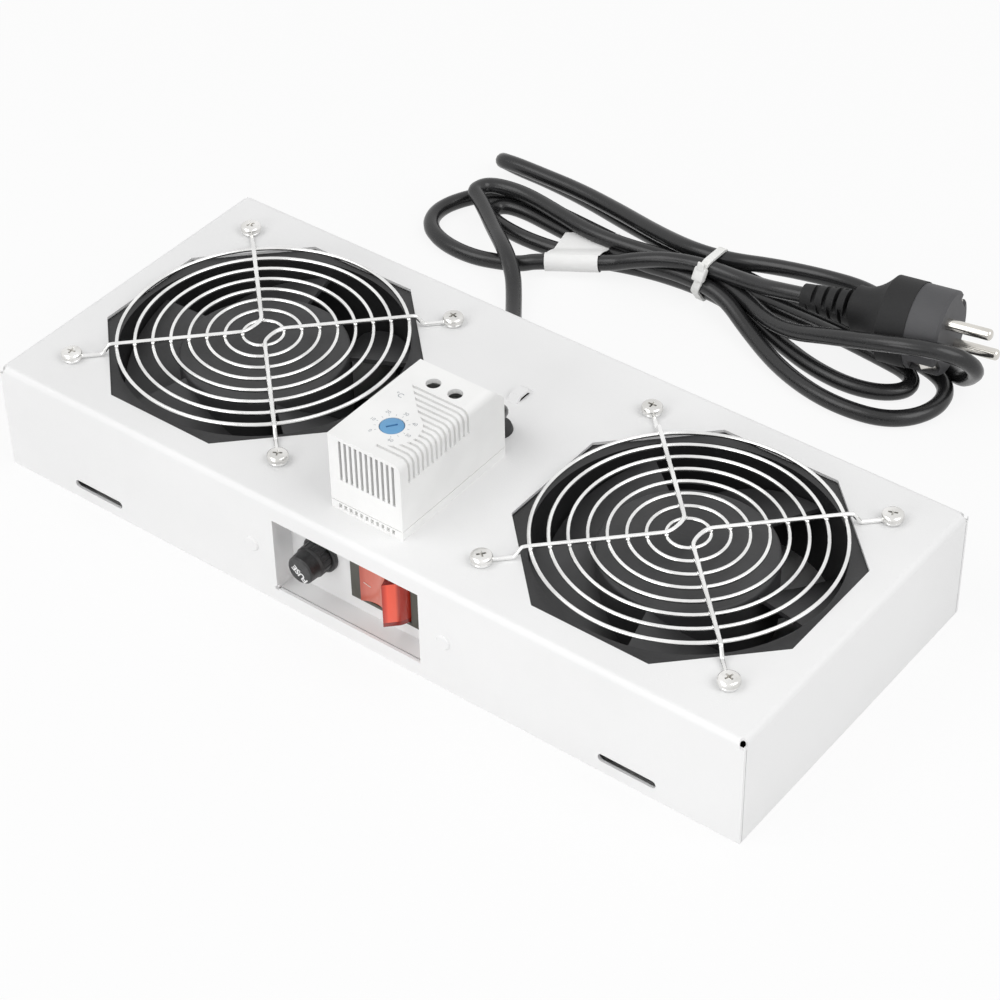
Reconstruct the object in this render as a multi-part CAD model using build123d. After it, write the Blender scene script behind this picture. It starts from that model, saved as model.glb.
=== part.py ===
from build123d import *
import math
import os

# Every size is in millimetres. X runs along the tray, the control panel faces -Y, Z is up.

# Tray
tray_length = 344.0
tray_depth = 145.0
tray_height = 48.0
sheet = 1.2
bend_outer = 2.5
corner_relief = 1.4
seam_gap = 0.3
rack_slot_length = 24.5
rack_slot_width = 3.5
rack_slot_z = 6.75
rack_slot_spacing = 250.0
lance_width = 4.5
lance_length = 11.0
lance_height = 2.2
lance_place = (0.95, 31.5)

# Fans
fan_spacing = 199.5
fan_width = 119.0
fan_depth = 38.0
fan_opening = 120.0
fan_hole_pitch = 104.8
fan_hole = 2.15
fan_bore = 57.2
fan_shell = 2.3
fan_flange = 4.5
hub_radius = 33.5
hub_wall = 2.2
hub_top_gap = 2.3
blade_count = 5
blade_half_angle = 28.5
blade_thickness = 2.0
tip_gap = 0.8
motor_cup_height = 5.0
rotor_gap = 0.7
shaft_radius = 2.5
bearing_radius = 8.0
bearing_width = 5.0
running_gap = 0.05
left_rotor_turn = -14.0
right_rotor_turn = 20.0

# Guards
guard_first_ring = 8.0
guard_ring_pitch = 6.95
guard_rings = 8
guard_wire = 0.75
guard_wire_sides = 4
guard_height = 3.7
arm_wire = 0.85
arm_corner = 9.6
eyelet_radius = 3.1
screw_head = 4.2
screw_head_height = 2.3
screw_shank = 1.95

# Control window and panel
window_half = 34.0
window_low = 6.7
window_high = 39.8
recess = 10.0
panel_gap = 1.0
ear_width = 15.0
rivet_x = 45.0
rivet_z = 23.0
rivet_shank = 1.6
rivet_head = 3.1

# Fuse holder
fuse_x = -19.4
fuse_z = 24.8
fuse_flange = 7.75
fuse_flange_thick = 2.0
fuse_neck = 6.2
fuse_length = 34.0
fuse_cap_front = 5.75
fuse_stand_out = 2.8
fuse_tube = 2.6
fuse_tube_length = 20.0

# Rocker switch
switch_x = 12.3
switch_z = 25.0
frame_width = 31.0
frame_height = 25.0
frame_thick = 1.8
rocker_reach = 12.56
rocker_half_height = 10.2
rocker_gap = 0.3
rocker_turn = 22.0
pivot_behind = 2.8
pivot_stub = 1.5
switch_depth = 20.0

# Thermostat
thermostat_left = -15.0
thermostat_right = 18.0
thermostat_front = -60.0
thermostat_back = 0.0
thermostat_rise = 34.0
thermostat_base_thick = 3.7
thermostat_wall = 1.6
thermostat_chamfer = 7.0
thermostat_round = 3.5
groove_count = 14
groove_pitch = 2.6
groove_width = 1.2
groove_depth = 1.2
groove_drop = 10.2
first_groove = -21.2
dial_place = (1.2, -43.5)
dial_radius = 5.0
terminal_places = ((-2.1, -15.6), (8.0, -15.7))
thermostat_lead_x = 13.0
thermostat_lead_z = 64.0

# Cord, tie, label and plug
cord_radius = 3.5
bushing_x = -35.0
bushing_z = 14.0
bushing_flange = 11.0
bushing_neck = 7.9
sleeve_length = 24.0
tie_x = -12.0
tie_width = 4.8
tie_thick = 1.3
bundle_low = 1.6
bundle_high = 20.7
bundle_front = 171.0
bundle_back = 192.0
plug_face = (99.6, 186.5, 26.5)
plug_axis = (0.987, 0.15, 0.04)
plug_pin_line = (0.0, -0.52, 0.854)
plug_radius = 18.0
plug_front_length = 26.0
plug_insert_length = 14.0
plug_neck_start = 33.0
plug_body_length = 40.0
plug_relief_length = 24.0
pin_radius = 2.4
pin_length = 19.0
pin_spacing = 19.0
earth_groove = 7.0

top = tray_height
under = tray_height - sheet
front = -tray_depth / 2
back = tray_depth / 2
fan_centres = (-fan_spacing / 2, fan_spacing / 2)
fan_low = under - fan_depth
panel_front = front + recess
panel_back = panel_front + sheet
low = (Align.CENTER, Align.CENTER, Align.MIN)

# The lead from its sleeve to the fold at the hank's left end.
lead_points = [
    (-35.0, 99.3, 14.0), (-36.5, 106.5, 11.5), (-45.0, 113.0, 7.0), (-58.0, 116.0, 4.0), (-69.0, 121.0, 3.6),
    (-78.0, 131.0, 4.6), (-85.0, 141.5, 8.6), (-92.0, 151.0, 10.9), (-102.0, 160.5, 10.9), (-114.0, 169.0, 10.9),
    (-127.0, 176.5, 10.9), (-137.0, 180.0, 11.2), (-142.0, 183.0, 11.4),
]
# The strand that carries the label and ends in the plug.
label_strand_points = [
    (-94.0, 147.0, 3.8), (-84.0, 153.0, 7.5), (-76.0, 158.5, 12.2), (-63.0, 167.5, 13.6), (-46.0, 173.5, 15.4),
    (-30.0, 177.0, 16.8), (-14.0, 178.0, 17.2), (3.0, 178.2, 17.6), (15.0, 177.0, 19.6), (25.0, 175.6, 22.4),
    (37.4, 177.1, 23.95),
]
# The strand that goes over the plug's front side and folds back under it.
over_plug_points = [
    (-8.0, 181.0, 11.2), (8.0, 176.0, 11.6), (24.0, 170.0, 16.0), (40.0, 165.5, 23.5), (56.0, 162.8, 30.5),
    (74.0, 162.0, 35.6), (92.0, 164.4, 36.6), (108.0, 169.6, 35.2), (118.5, 176.5, 29.5), (122.5, 182.5, 21.0),
    (117.0, 187.0, 11.5), (103.0, 189.5, 4.0),
]


def block(x_low, x_high, y_low, y_high, z_low, z_high):
    size = (x_high - x_low, y_high - y_low, z_high - z_low)
    return Pos(x_low, y_low, z_low) * Box(*size, align=(Align.MIN, Align.MIN, Align.MIN))


def rod(start, end, radius):
    way = Vector(*end) - Vector(*start)
    return Plane(origin=start, z_dir=way) * Cylinder(radius, way.length, align=low)


def outline(points, z_low, z_high, margin):
    shape = offset(Polygon(*points, align=None), amount=margin, kind=Kind.ARC)
    return Pos(0, 0, z_low) * extrude(shape, z_high - z_low, dir=(0, 0, 1))


def tube(points, radius, name=None):
    radii = []
    for before, here, after in zip(points, points[1:], points[2:]):
        run_in = Vector(*here) - Vector(*before)
        run_out = Vector(*after) - Vector(*here)
        turn = math.radians(run_in.get_angle(run_out))
        radii.append(0.45 * min(run_in.length, run_out.length) / math.tan(turn / 2))
    path = FilletPolyline(*points, radius=radii)
    section = Plane(origin=path @ 0, z_dir=path % 0) * Circle(radius)
    solid = sweep(section, path=path)
    if name:
        expected = math.pi * radius ** 2 * path.length
        print(name, "radii", [round(r, 1) for r in radii])
        print(name, "length", round(path.length, 1), "volume ratio", round(solid.volume / expected, 4))
    return solid


def tray_body():
    """Folded pan, open underneath, with corner seams and reliefs."""
    outer = Box(tray_length, tray_depth, tray_height, align=low)
    outer = fillet(outer.faces().sort_by(Axis.Z)[-1].edges(), bend_outer)
    inner = Box(tray_length - 2 * sheet, tray_depth - 2 * sheet, under, align=low)
    inner = fillet(inner.faces().sort_by(Axis.Z)[-1].edges(), bend_outer - sheet)
    pan = outer - inner
    relief_depth = bend_outer + 0.7
    for side in (-1, 1):
        for end in (-1, 1):
            corner = (side * (tray_length / 2 - sheet), end * (tray_depth / 2 - sheet))
            relief = Cylinder(corner_relief, relief_depth + 1, align=low)
            outward = Rot(0, 0, math.degrees(math.atan2(end, side)))
            pan -= Pos(*corner, tray_height - relief_depth) * outward * relief
            seam = Box(2 * sheet + 1, seam_gap, tray_height - relief_depth + 0.1, align=low)
            pan -= Pos(side * tray_length / 2, end * (tray_depth / 2 - sheet - seam_gap / 2), 0) * seam
    for x in fan_centres:
        opening = RegularPolygon(fan_opening / 2, 8, major_radius=False, rotation=22.5)
        pan -= Pos(x, 0, under - 1) * extrude(opening, sheet + 2)
        pan -= [Pos(x, 0, under - 1) * hole for hole in guard_grid(Cylinder(fan_hole, sheet + 2, align=low))]
    pan -= block(-window_half, window_half, front - 1, front + sheet + 1, window_low, window_high)
    pan -= rod((-window_half, front - 1, window_low), (-window_half, front + sheet + 1, window_low), 1.0)
    for x in (-rivet_x, rivet_x):
        pan -= rod((x, front - 1, rivet_z), (x, front + sheet + 1, rivet_z), rivet_shank)
    pan -= rack_slots()
    pan -= rod((bushing_x, back - sheet - 1, bushing_z), (bushing_x, back + 1, bushing_z), bushing_neck)
    for y_low in foot_slots():
        pan -= block(*foot_span(), y_low, y_low + 5.0, under - 1, top + 1)
    pan -= Pos(*grommet_place(), under - 1) * Cylinder(5.0, sheet + 2, align=low)
    return pan - lance_window() + lance_bridge()


def guard_grid(piece):
    half = fan_hole_pitch / 2
    return [Pos(x, y, 0) * piece for x in (-half, half) for y in (-half, half)]


def rack_slots():
    slot = Plane.XZ * SlotOverall(rack_slot_length, rack_slot_width)
    cut = extrude(slot, tray_depth / 2 + 1, both=True)
    inside = Box(tray_length, tray_depth - 4 * sheet, tray_height, align=low)
    half = rack_slot_spacing / 2
    return [Pos(x, 0, rack_slot_z) * cut - inside for x in (-half, half)]


def lance_window():
    x, y = lance_place
    half = lance_length / 2 - 1.5
    return block(x - lance_width / 2, x + lance_width / 2, y - half, y + half, under - 1, top + 1)


def lance_bridge():
    """Strip of the sheet pressed up between two slits."""
    x, y = lance_place
    half = lance_length / 2
    crown = half - 3.0
    rise = top + lance_height
    outer = [(-half, top - 0.6), (-half, top), (-crown, rise), (crown, rise), (half, top), (half, top - 0.6)]
    inner = [(half - 1.5, top - 0.6), (crown - 0.4, rise - sheet), (0.4 - crown, rise - sheet), (1.5 - half, top - 0.6)]
    strip = Plane.YZ * Polygon(*outer, *inner, align=None)
    return Pos(x, y, 0) * extrude(strip, lance_width / 2, both=True)


def foot_slots():
    return (thermostat_front + 10.0, thermostat_back - 15.0)


def foot_span():
    middle = (thermostat_left + thermostat_right) / 2
    return (middle - 6.5, middle + 6.5)


def grommet_place():
    return (thermostat_lead_x - 7.0, thermostat_back + 10.0)


def control_bracket():
    """Box-shaped recess panel with ears behind the front skirt."""
    side = window_half + sheet
    ear_front = front + sheet
    floor_top = window_low - 0.7
    roof_low = window_high + 0.7
    shell = block(-side, side, ear_front, panel_back, floor_top - sheet, roof_low + sheet)
    shell -= block(-window_half, window_half, ear_front - 1, panel_front, floor_top, roof_low)
    shell -= block(-side - 1, side + 1, ear_front - 1, ear_front + panel_gap, floor_top - sheet - 1, floor_top)
    shell -= block(-side - 1, side + 1, ear_front - 1, ear_front + panel_gap, roof_low, roof_low + sheet + 1)
    for way in (-1, 1):
        edges = sorted((way * (side - sheet), way * (side + ear_width)))
        ear = block(*edges, ear_front, ear_front + sheet, floor_top + 2, roof_low - 2)
        ear -= block(-window_half, window_half, ear_front - 1, panel_front, floor_top, roof_low)
        shell += ear - rod((way * rivet_x, front, rivet_z), (way * rivet_x, ear_front + 3, rivet_z), rivet_shank)
    shell -= rod((fuse_x, panel_front - 1, fuse_z), (fuse_x, panel_back + 1, fuse_z), fuse_neck + 0.1)
    cut_x = switch_body_half()[0] + 0.1
    cut_z = switch_body_half()[1] + 0.1
    shell -= block(switch_x - cut_x, switch_x + cut_x, panel_front - 1, panel_back + 1,
                   switch_z - cut_z, switch_z + cut_z)
    return shell


def bracket_rivets():
    shank_end = front + 2 * sheet
    profile = Polygon((0, -0.6), (rivet_head - 0.5, -0.6), (rivet_head, -0.25), (rivet_head, 0), (rivet_shank, 0),
                      (rivet_shank, shank_end - front), (2.4, shank_end - front), (2.2, shank_end - front + 1.1),
                      (0, shank_end - front + 1.1), align=None)
    rivet = revolve(profile, Axis.Y)
    return Compound([Pos(x, front, rivet_z) * rivet for x in (-rivet_x, rivet_x)])


def fuse_place():
    return Pos(fuse_x, panel_front, fuse_z)


def fuse_holder_body():
    """Barrel through the panel with a thread relief, an inner bore and a closed end."""
    bore = carrier_radius() + 0.3
    end = fuse_length
    profile = Polygon((bore, -fuse_flange_thick), (fuse_flange - 0.6, -fuse_flange_thick), (fuse_flange, -1.4),
                      (fuse_flange, 0), (fuse_neck, 0), (fuse_neck, 12.0), (fuse_neck - 0.5, 12.6),
                      (fuse_neck - 0.5, end - 1.5), (fuse_neck - 2.0, end), (0, end), (0, end - 2.0),
                      (bore, end - 2.0), align=None)
    return fuse_place() * revolve(profile, Axis.Y)


def carrier_radius():
    return fuse_tube + 0.9


def fuse_holder_nut():
    ring = Plane.XZ * (RegularPolygon(8.4, 6, major_radius=False) - Circle(fuse_neck))
    ring = extrude(ring, -4.0)
    return Pos(fuse_x, panel_back, fuse_z) * ring


def fuse_tabs():
    end = panel_front + fuse_length
    rear = block(fuse_x - 2.4, fuse_x + 2.4, end, end + 8.0, fuse_z - 0.4, fuse_z + 0.4)
    wall = fuse_z - fuse_neck + 0.5
    side = block(fuse_x - 2.4, fuse_x + 2.4, end - 12.0, end - 11.2, wall - 8.0, wall)
    return Compound([rear, side])


def fuse_cap():
    """Finger cap: fluted collar, taper and a flat face in front of the skirt."""
    face = -(recess + fuse_stand_out)
    seat = -(fuse_flange_thick + 0.3)
    profile = Polygon((0, face), (fuse_cap_front - 0.6, face), (fuse_cap_front, face + 0.6),
                      (fuse_cap_front + 0.3, face + 5.0), (fuse_neck + 0.3, face + 6.0), (fuse_neck + 0.3, seat),
                      (carrier_radius(), seat), (carrier_radius(), seat - 2.0), (0, seat - 2.0), align=None)
    cap = revolve(profile, Axis.Y)
    collar_start = face + 6.6
    flute = rod((fuse_neck + 0.75, collar_start, 0), (fuse_neck + 0.75, seat + 1, 0), 0.75)
    for number in range(16):
        cap -= Rot(0, number * 22.5, 0) * flute
    return fuse_place() * cap


def fuse_carrier():
    """Contact sleeve that grips the front end of the fuse."""
    start = -(fuse_flange_thick + 2.3)
    sleeve = rod((0, start, 0), (0, 12.0, 0), carrier_radius()) - rod((0, start + 1.5, 0), (0, 13.0, 0), fuse_tube)
    for turn in (0, 90):
        sleeve -= Rot(0, turn, 0) * block(-0.4, 0.4, 6.0, 13.0, -5.0, 5.0)
    return fuse_place() * sleeve


def fuse_end_caps():
    start = -(fuse_flange_thick + 0.8)
    ends = []
    for y_low in (start, start + fuse_tube_length - 5.0):
        ends.append(rod((0, y_low, 0), (0, y_low + 5.0, 0), fuse_tube))
    ends[0] -= rod((0, start + 0.6, 0), (0, start + 6, 0), fuse_tube - 0.35)
    ends[1] -= rod((0, start + fuse_tube_length - 6, 0), (0, start + fuse_tube_length - 0.6, 0), fuse_tube - 0.35)
    return fuse_place() * Compound(ends)


def fuse_glass():
    start = -(fuse_flange_thick + 0.2)
    glass = rod((0, start, 0), (0, start + fuse_tube_length - 1.2, 0), fuse_tube - 0.35)
    return fuse_place() * glass


def switch_place():
    return Pos(switch_x, panel_front - frame_thick + pivot_behind, switch_z)


def switch_body_half():
    return (rocker_reach + rocker_gap + 1.0, rocker_half_height + rocker_gap + 1.2)


def switch_frame():
    """Bezel and body of the switch around the rocker's well."""
    half_x, half_z = switch_body_half()
    bezel_front = panel_front - frame_thick
    bezel = block(-frame_width / 2, frame_width / 2, bezel_front, panel_front, -frame_height / 2, frame_height / 2)
    bezel = chamfer(bezel.faces().sort_by(Axis.Y)[0].edges(), 0.7)
    body = block(-half_x, half_x, panel_front, panel_front + switch_depth, -half_z, half_z)
    well_x = rocker_reach + rocker_gap
    well_z = rocker_half_height + rocker_gap
    well = block(-well_x, well_x, bezel_front - 1, panel_front + 12.0, -well_z, well_z)
    pivot_y = bezel_front + pivot_behind
    socket = Pos(0, pivot_y, 0) * Cylinder(pivot_stub + running_gap, 2 * (well_z + 0.9))
    return Pos(switch_x, 0, switch_z) * (bezel + body - well - socket)


def switch_rocker():
    """Translucent rocker: two peaks with a hollow between them, round ends about its pivot."""
    end_low = math.radians(-32)
    end_high = math.radians(13.8)
    reach = rocker_reach
    right_low = (reach * math.cos(end_low), -reach * math.sin(end_low))
    right_mid = (reach * math.cos(-0.16), reach * math.sin(0.16))
    right_top = (reach * math.cos(end_high), -reach * math.sin(end_high))
    peak = (9.5, -8.3)
    with BuildSketch() as section:
        with BuildLine():
            ThreePointArc(right_low, right_mid, right_top)
            Line(right_top, peak)
            ThreePointArc(peak, (0, -3.6), (-peak[0], peak[1]))
            Line((-peak[0], peak[1]), (-right_top[0], right_top[1]))
            ThreePointArc((-right_top[0], right_top[1]), (-right_mid[0], right_mid[1]), (-right_low[0], right_low[1]))
            Line((-right_low[0], right_low[1]), (-5.0, 4.0))
            Line((-5.0, 4.0), (5.0, 4.0))
            Line((5.0, 4.0), right_low)
        make_face()
    rocker = Pos(0, 0, -rocker_half_height) * extrude(section.sketch, 2 * rocker_half_height)
    rocker += Cylinder(pivot_stub, 2 * (rocker_half_height + rocker_gap + 0.7))
    return switch_place() * Rot(0, 0, -rocker_turn) * rocker


def switch_tabs():
    start = panel_front + switch_depth
    tabs = []
    for x in (-8.0, 0.0, 8.0):
        for z in (-5.0, 5.0):
            tabs.append(block(switch_x + x - 0.4, switch_x + x + 0.4, start, start + 8.0,
                              switch_z + z - 2.4, switch_z + z + 2.4))
    return Compound(tabs)


def thermostat_base():
    """Foot plate with an inner lip and two hooks through the sheet."""
    plate_top = top + thermostat_base_thick
    plate = block(thermostat_left, thermostat_right, thermostat_front, thermostat_back, top, plate_top)
    lip = thermostat_wall + 0.3
    rim = block(thermostat_left + lip, thermostat_right - lip, thermostat_front + lip, thermostat_back - lip,
                plate_top, plate_top + 2.5)
    rim -= block(thermostat_left + lip + 1.2, thermostat_right - lip - 1.2, thermostat_front + lip + 1.2,
                 thermostat_back - lip - 1.2, plate_top, plate_top + 3)
    plate += rim
    x_low, x_high = foot_span()
    for y_low in foot_slots():
        plate += block(x_low + 0.5, x_high - 0.5, y_low + 0.4, y_low + 2.4, under - 2.4, top)
        plate += block(x_low + 0.5, x_high - 0.5, y_low + 0.4, y_low + 4.6, under - 2.4, under - 0.3)
    for number in range(11):
        x = thermostat_left + 3.4 + number * 2.46
        plate -= block(x, x + 1.3, thermostat_front - 1, thermostat_front + 1.4, top + 1.0, top + 3.0)
    return plate


def thermostat_outline(margin):
    """Side outline in Y and Z, with the slope at the back."""
    y_low = thermostat_front + margin
    y_high = thermostat_back - margin
    z_high = top + thermostat_rise - margin
    cut = thermostat_chamfer - 0.4 * margin
    z_low = top + thermostat_base_thick + 0.3
    points = [(y_low, z_low), (y_low, z_high), (y_high - cut, z_high), (y_high, z_high - cut), (y_high, z_low)]
    return Plane.YZ * Polygon(*points, align=None)


def thermostat_cover():
    """Moulded cover: grooved corner, slotted front, smooth field round the dial."""
    width = thermostat_right - thermostat_left
    cover = Pos(thermostat_left, 0, 0) * extrude(thermostat_outline(0), width, dir=(1, 0, 0))
    edge = cover.edges().filter_by(Axis.Y).group_by(Axis.Z)[-1].sort_by(Axis.X)[-1]
    cover = fillet(edge, thermostat_round)
    inner_left = thermostat_left + thermostat_wall
    inner_right = thermostat_right - thermostat_wall
    inside = extrude(thermostat_outline(thermostat_wall + 0.5), inner_right - inner_left, dir=(1, 0, 0))
    skirt = block(inner_left, inner_right, thermostat_front + thermostat_wall, thermostat_back - thermostat_wall,
                  top, top + 15.0)
    cover -= Pos(inner_left, 0, 0) * inside - block(inner_right - 2.6, inner_right, -99, 99, top + 31.4, top + 40)
    cover -= skirt
    cover -= thermostat_grooves()
    for number in range(11):
        x = thermostat_left + 4.8 + number * 2.42
        cover -= block(x, x + 1.2, thermostat_front - 1, thermostat_front + 3, top + 14.5, top + 32.5)
    dial_x, dial_y = dial_place
    cover -= Pos(dial_x, dial_y, top + thermostat_rise - 5) * Cylinder(dial_radius + 0.3, 6, align=low)
    for x, y in terminal_places:
        cover -= Pos(x, y, top + thermostat_rise - 5) * Cylinder(2.9, 6, align=low)
    start = (thermostat_lead_x, thermostat_back - 4, thermostat_lead_z)
    end = (thermostat_lead_x, thermostat_back + 1, thermostat_lead_z)
    return cover - rod(start, end, 3.3)


def thermostat_grooves():
    high = top + thermostat_rise
    right = thermostat_right
    inner_round = thermostat_round - groove_depth
    core = Rectangle(60, 60, align=(Align.MAX, Align.MAX))
    core = fillet(core.vertices().group_by(Axis.X)[-1].group_by(Axis.Y)[-1], inner_round)
    band = Rectangle(60, groove_drop + 2, align=(Align.MAX, Align.MAX))
    band = Pos(2, 2) * band - Pos(-groove_depth, -groove_depth) * core
    groove = extrude(Plane.XZ * Pos(right, high) * band, groove_width / 2, both=True)
    cuts = [Pos(0, first_groove - number * groove_pitch, 0) * groove for number in range(groove_count)]
    dial_x, dial_y = dial_place
    field = Pos(dial_x, dial_y) * Circle(11.0)
    left = thermostat_left - 10
    far = thermostat_front - 1
    side = [(left, -12.0), (-10.2, -18.4), (dial_x + 9.0, dial_y + 5.4), (dial_x, dial_y), (dial_x + 3.5, far)]
    field += Polygon(*side, (left, far), align=None)
    keep = Pos(0, 0, high - 6) * extrude(field, 10)
    return [cut - keep for cut in cuts]


def thermostat_dial():
    dial_x, dial_y = dial_place
    high = top + thermostat_rise
    dial = Pos(dial_x, dial_y, high - 2.4) * Cylinder(dial_radius, 2.6, align=low)
    dial = chamfer(dial.faces().sort_by(Axis.Z)[-1].edges(), 0.4)
    dial += Pos(dial_x, dial_y, high - 13.7) * Cylinder(2.6, 12.0, align=low)
    slot = Box(2 * dial_radius - 1.6, 1.3, 2.0, align=low)
    return dial - Pos(dial_x, dial_y, high - 0.9) * Rot(0, 0, 35) * slot


def thermostat_block():
    """Snap switch with a post for the dial and two terminal posts."""
    floor = top + thermostat_base_thick
    block_top = floor + 14.0
    body = block(-8.0, 11.0, thermostat_front + 8.0, -24.0, floor, block_top)
    dial_x, dial_y = dial_place
    body += Pos(dial_x, dial_y, block_top) * Cylinder(4.5, 4.0, align=low)
    body -= Pos(dial_x, dial_y, block_top - 1.0) * Cylinder(2.6 + running_gap, 6.0, align=low)
    for x, y in terminal_places:
        body += block(x - 4.2, x + 4.2, y - 8.5, y + 4.5, floor, floor + 20.0)
    for x, y in terminal_places:
        body -= Pos(x, y, floor + 12.0) * Cylinder(1.45, 9.0, align=low)
    return body


def thermostat_screws():
    floor = top + thermostat_base_thick + 20.0
    screws = []
    for x, y in terminal_places:
        head = Pos(x, y, floor) * Cylinder(2.5, 1.8, align=low)
        head -= Pos(x, y, floor + 0.9) * Box(5.2, 0.8, 1.0, align=low)
        screws.append(head + Pos(x, y, floor - 7.0) * Cylinder(1.45, 7.0, align=low))
    return Compound(screws)


def thermostat_lead():
    """Lead from the back of the thermostat through the sheet to the terminal block."""
    x = thermostat_lead_x
    y = thermostat_back
    z = thermostat_lead_z
    hole_x, hole_y = grommet_place()
    points = [(x, y - 1.5, z), (x, y + 5.5, z), (x - 2.5, y + 9.4, z - 4), (hole_x, hole_y, z - 11),
              (hole_x, hole_y, under - 5), (hole_x + 2, hole_y + 7, under - 13), (hole_x + 3, 41.6, under - 13)]
    collar = revolve(Polygon((0, 0.05), (4.6, 0.05), (4.6, 2.2), (3.6, 4.0), (0, 4.0), align=None), Axis.Y)
    return tube(points, 3.0, "thermostat lead") + Pos(x, y, z) * collar


def lead_grommet():
    profile = Polygon((3.2, -2.8), (6.6, -2.8), (6.6, -1.2 - 0.05), (4.95, -1.2 - 0.05), (4.95, 0.05),
                      (6.6, 0.05), (6.0, 1.8), (3.2, 1.8), align=None)
    ring = revolve(Plane.XZ * profile, Axis.Z)
    return Pos(*grommet_place(), top) * ring


def fan_frame(x):
    """Square frame with round duct, corner flanges, motor cup and four struts."""
    flange = extrude(RectangleRounded(fan_width, fan_width, 5.0), fan_flange)
    frame = flange + Pos(0, 0, fan_depth - fan_flange) * flange
    frame += Cylinder(fan_bore + fan_shell, fan_depth, align=low)
    frame -= Cylinder(fan_bore, fan_depth, align=low)
    frame -= guard_grid(Cylinder(fan_hole, fan_depth, align=low))
    cup = Cylinder(hub_radius - 2.0, motor_cup_height, align=low)
    cup -= Pos(0, 0, 2.0) * Cylinder(hub_radius - 4.0, motor_cup_height, align=low)
    cup += Cylinder(bearing_radius + 2.0, fan_depth - 10.0, align=low)
    strut = block(hub_radius - 3.0, fan_bore + 0.5, -3.0, 3.0, 0, 3.5)
    for turn in (45, 135, 225, 315):
        cup += Rot(0, 0, turn) * strut
    frame += cup
    frame -= Pos(0, 0, 2.0) * Cylinder(bearing_radius, fan_depth, align=low)
    return Pos(x, 0, fan_low) * frame


def fan_stator(x):
    """Lamination stack with eight poles."""
    inner = bearing_radius + 2.1
    outer = hub_radius - hub_wall - 1.5
    stack = Cylinder(outer, 14.0, align=low) - Cylinder(inner, 14.0, align=low)
    slot = block(inner + 4.0, outer + 1, -1.4, 1.4, 0, 14.0)
    for number in range(8):
        stack -= Rot(0, 0, number * 45) * slot
    return Pos(x, 0, fan_low + motor_cup_height + 4.0) * stack


def fan_bearings(x):
    ring = Cylinder(bearing_radius - running_gap, bearing_width, align=low)
    ring -= Cylinder(shaft_radius + running_gap, bearing_width, align=low)
    high = fan_depth - 10.0 - bearing_width
    return Compound([Pos(x, 0, fan_low + z) * ring for z in (2.0, high)])


def fan_shaft(x):
    length = fan_depth - hub_top_gap - 3.0 - hub_wall
    return Pos(x, 0, fan_low + 3.0) * Cylinder(shaft_radius, length, align=low)


def fan_rotor(x, turn):
    """Hub cup with five skewed blades that are trimmed to the duct."""
    hub_low = motor_cup_height + rotor_gap
    hub_high = fan_depth - hub_top_gap
    hub = Pos(0, 0, hub_low) * Cylinder(hub_radius, hub_high - hub_low, align=low)
    hub = fillet(hub.faces().sort_by(Axis.Z)[-1].edges(), 1.5)
    hub -= Pos(0, 0, hub_low) * Cylinder(hub_radius - hub_wall, hub_high - hub_low - hub_wall, align=low)
    boss = Pos(0, 0, fan_depth - 9.4) * Cylinder(5.0, hub_high - hub_wall - fan_depth + 9.4, align=low)
    hub += boss
    hub -= Cylinder(shaft_radius, hub_high - hub_wall, align=low)
    ring = Pos(0, 0, hub_low) * Cylinder(fan_bore - tip_gap, hub_high - hub_low, align=low)
    ring -= Pos(0, 0, hub_low) * Cylinder(hub_radius - 0.5, hub_high - hub_low, align=low)
    blade = blade_blank(hub_low + 1.5, hub_high - 1.5) & ring
    for number in range(blade_count):
        hub += Rot(0, 0, number * 360 / blade_count) * blade
    return Pos(x, 0, fan_low) * Rot(0, 0, turn) * hub


def blade_blank(z_low, z_high):
    """Loft of two cambered sections that stand across the blade's middle line."""
    sections = []
    for reach, skew, pitch in ((hub_radius - 6.0, 0.0, 1.0), (fan_bore + 8.0, 3.0, 0.72)):
        half = reach * math.tan(math.radians(blade_half_angle))
        middle = (z_low + z_high) / 2
        rise = (z_high - z_low) / 2 * pitch
        camber = 2.5
        plane = Plane(origin=(reach, 0, 0), x_dir=(0, 1, 0), z_dir=(1, 0, 0))
        upper = [(skew - half, middle + rise), (skew, middle + camber), (skew + half, middle - rise)]
        lower = [(a, b - blade_thickness) for a, b in reversed(upper)]
        with BuildSketch(plane) as section:
            with BuildLine():
                ThreePointArc(*upper)
                Line(upper[-1], lower[0])
                ThreePointArc(*lower)
                Line(lower[-1], upper[0])
            make_face()
        sections.append(section.sketch)
    return loft(sections)


def wire_section():
    return RegularPolygon(guard_wire, guard_wire_sides, major_radius=False, rotation=180 / guard_wire_sides)


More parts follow.
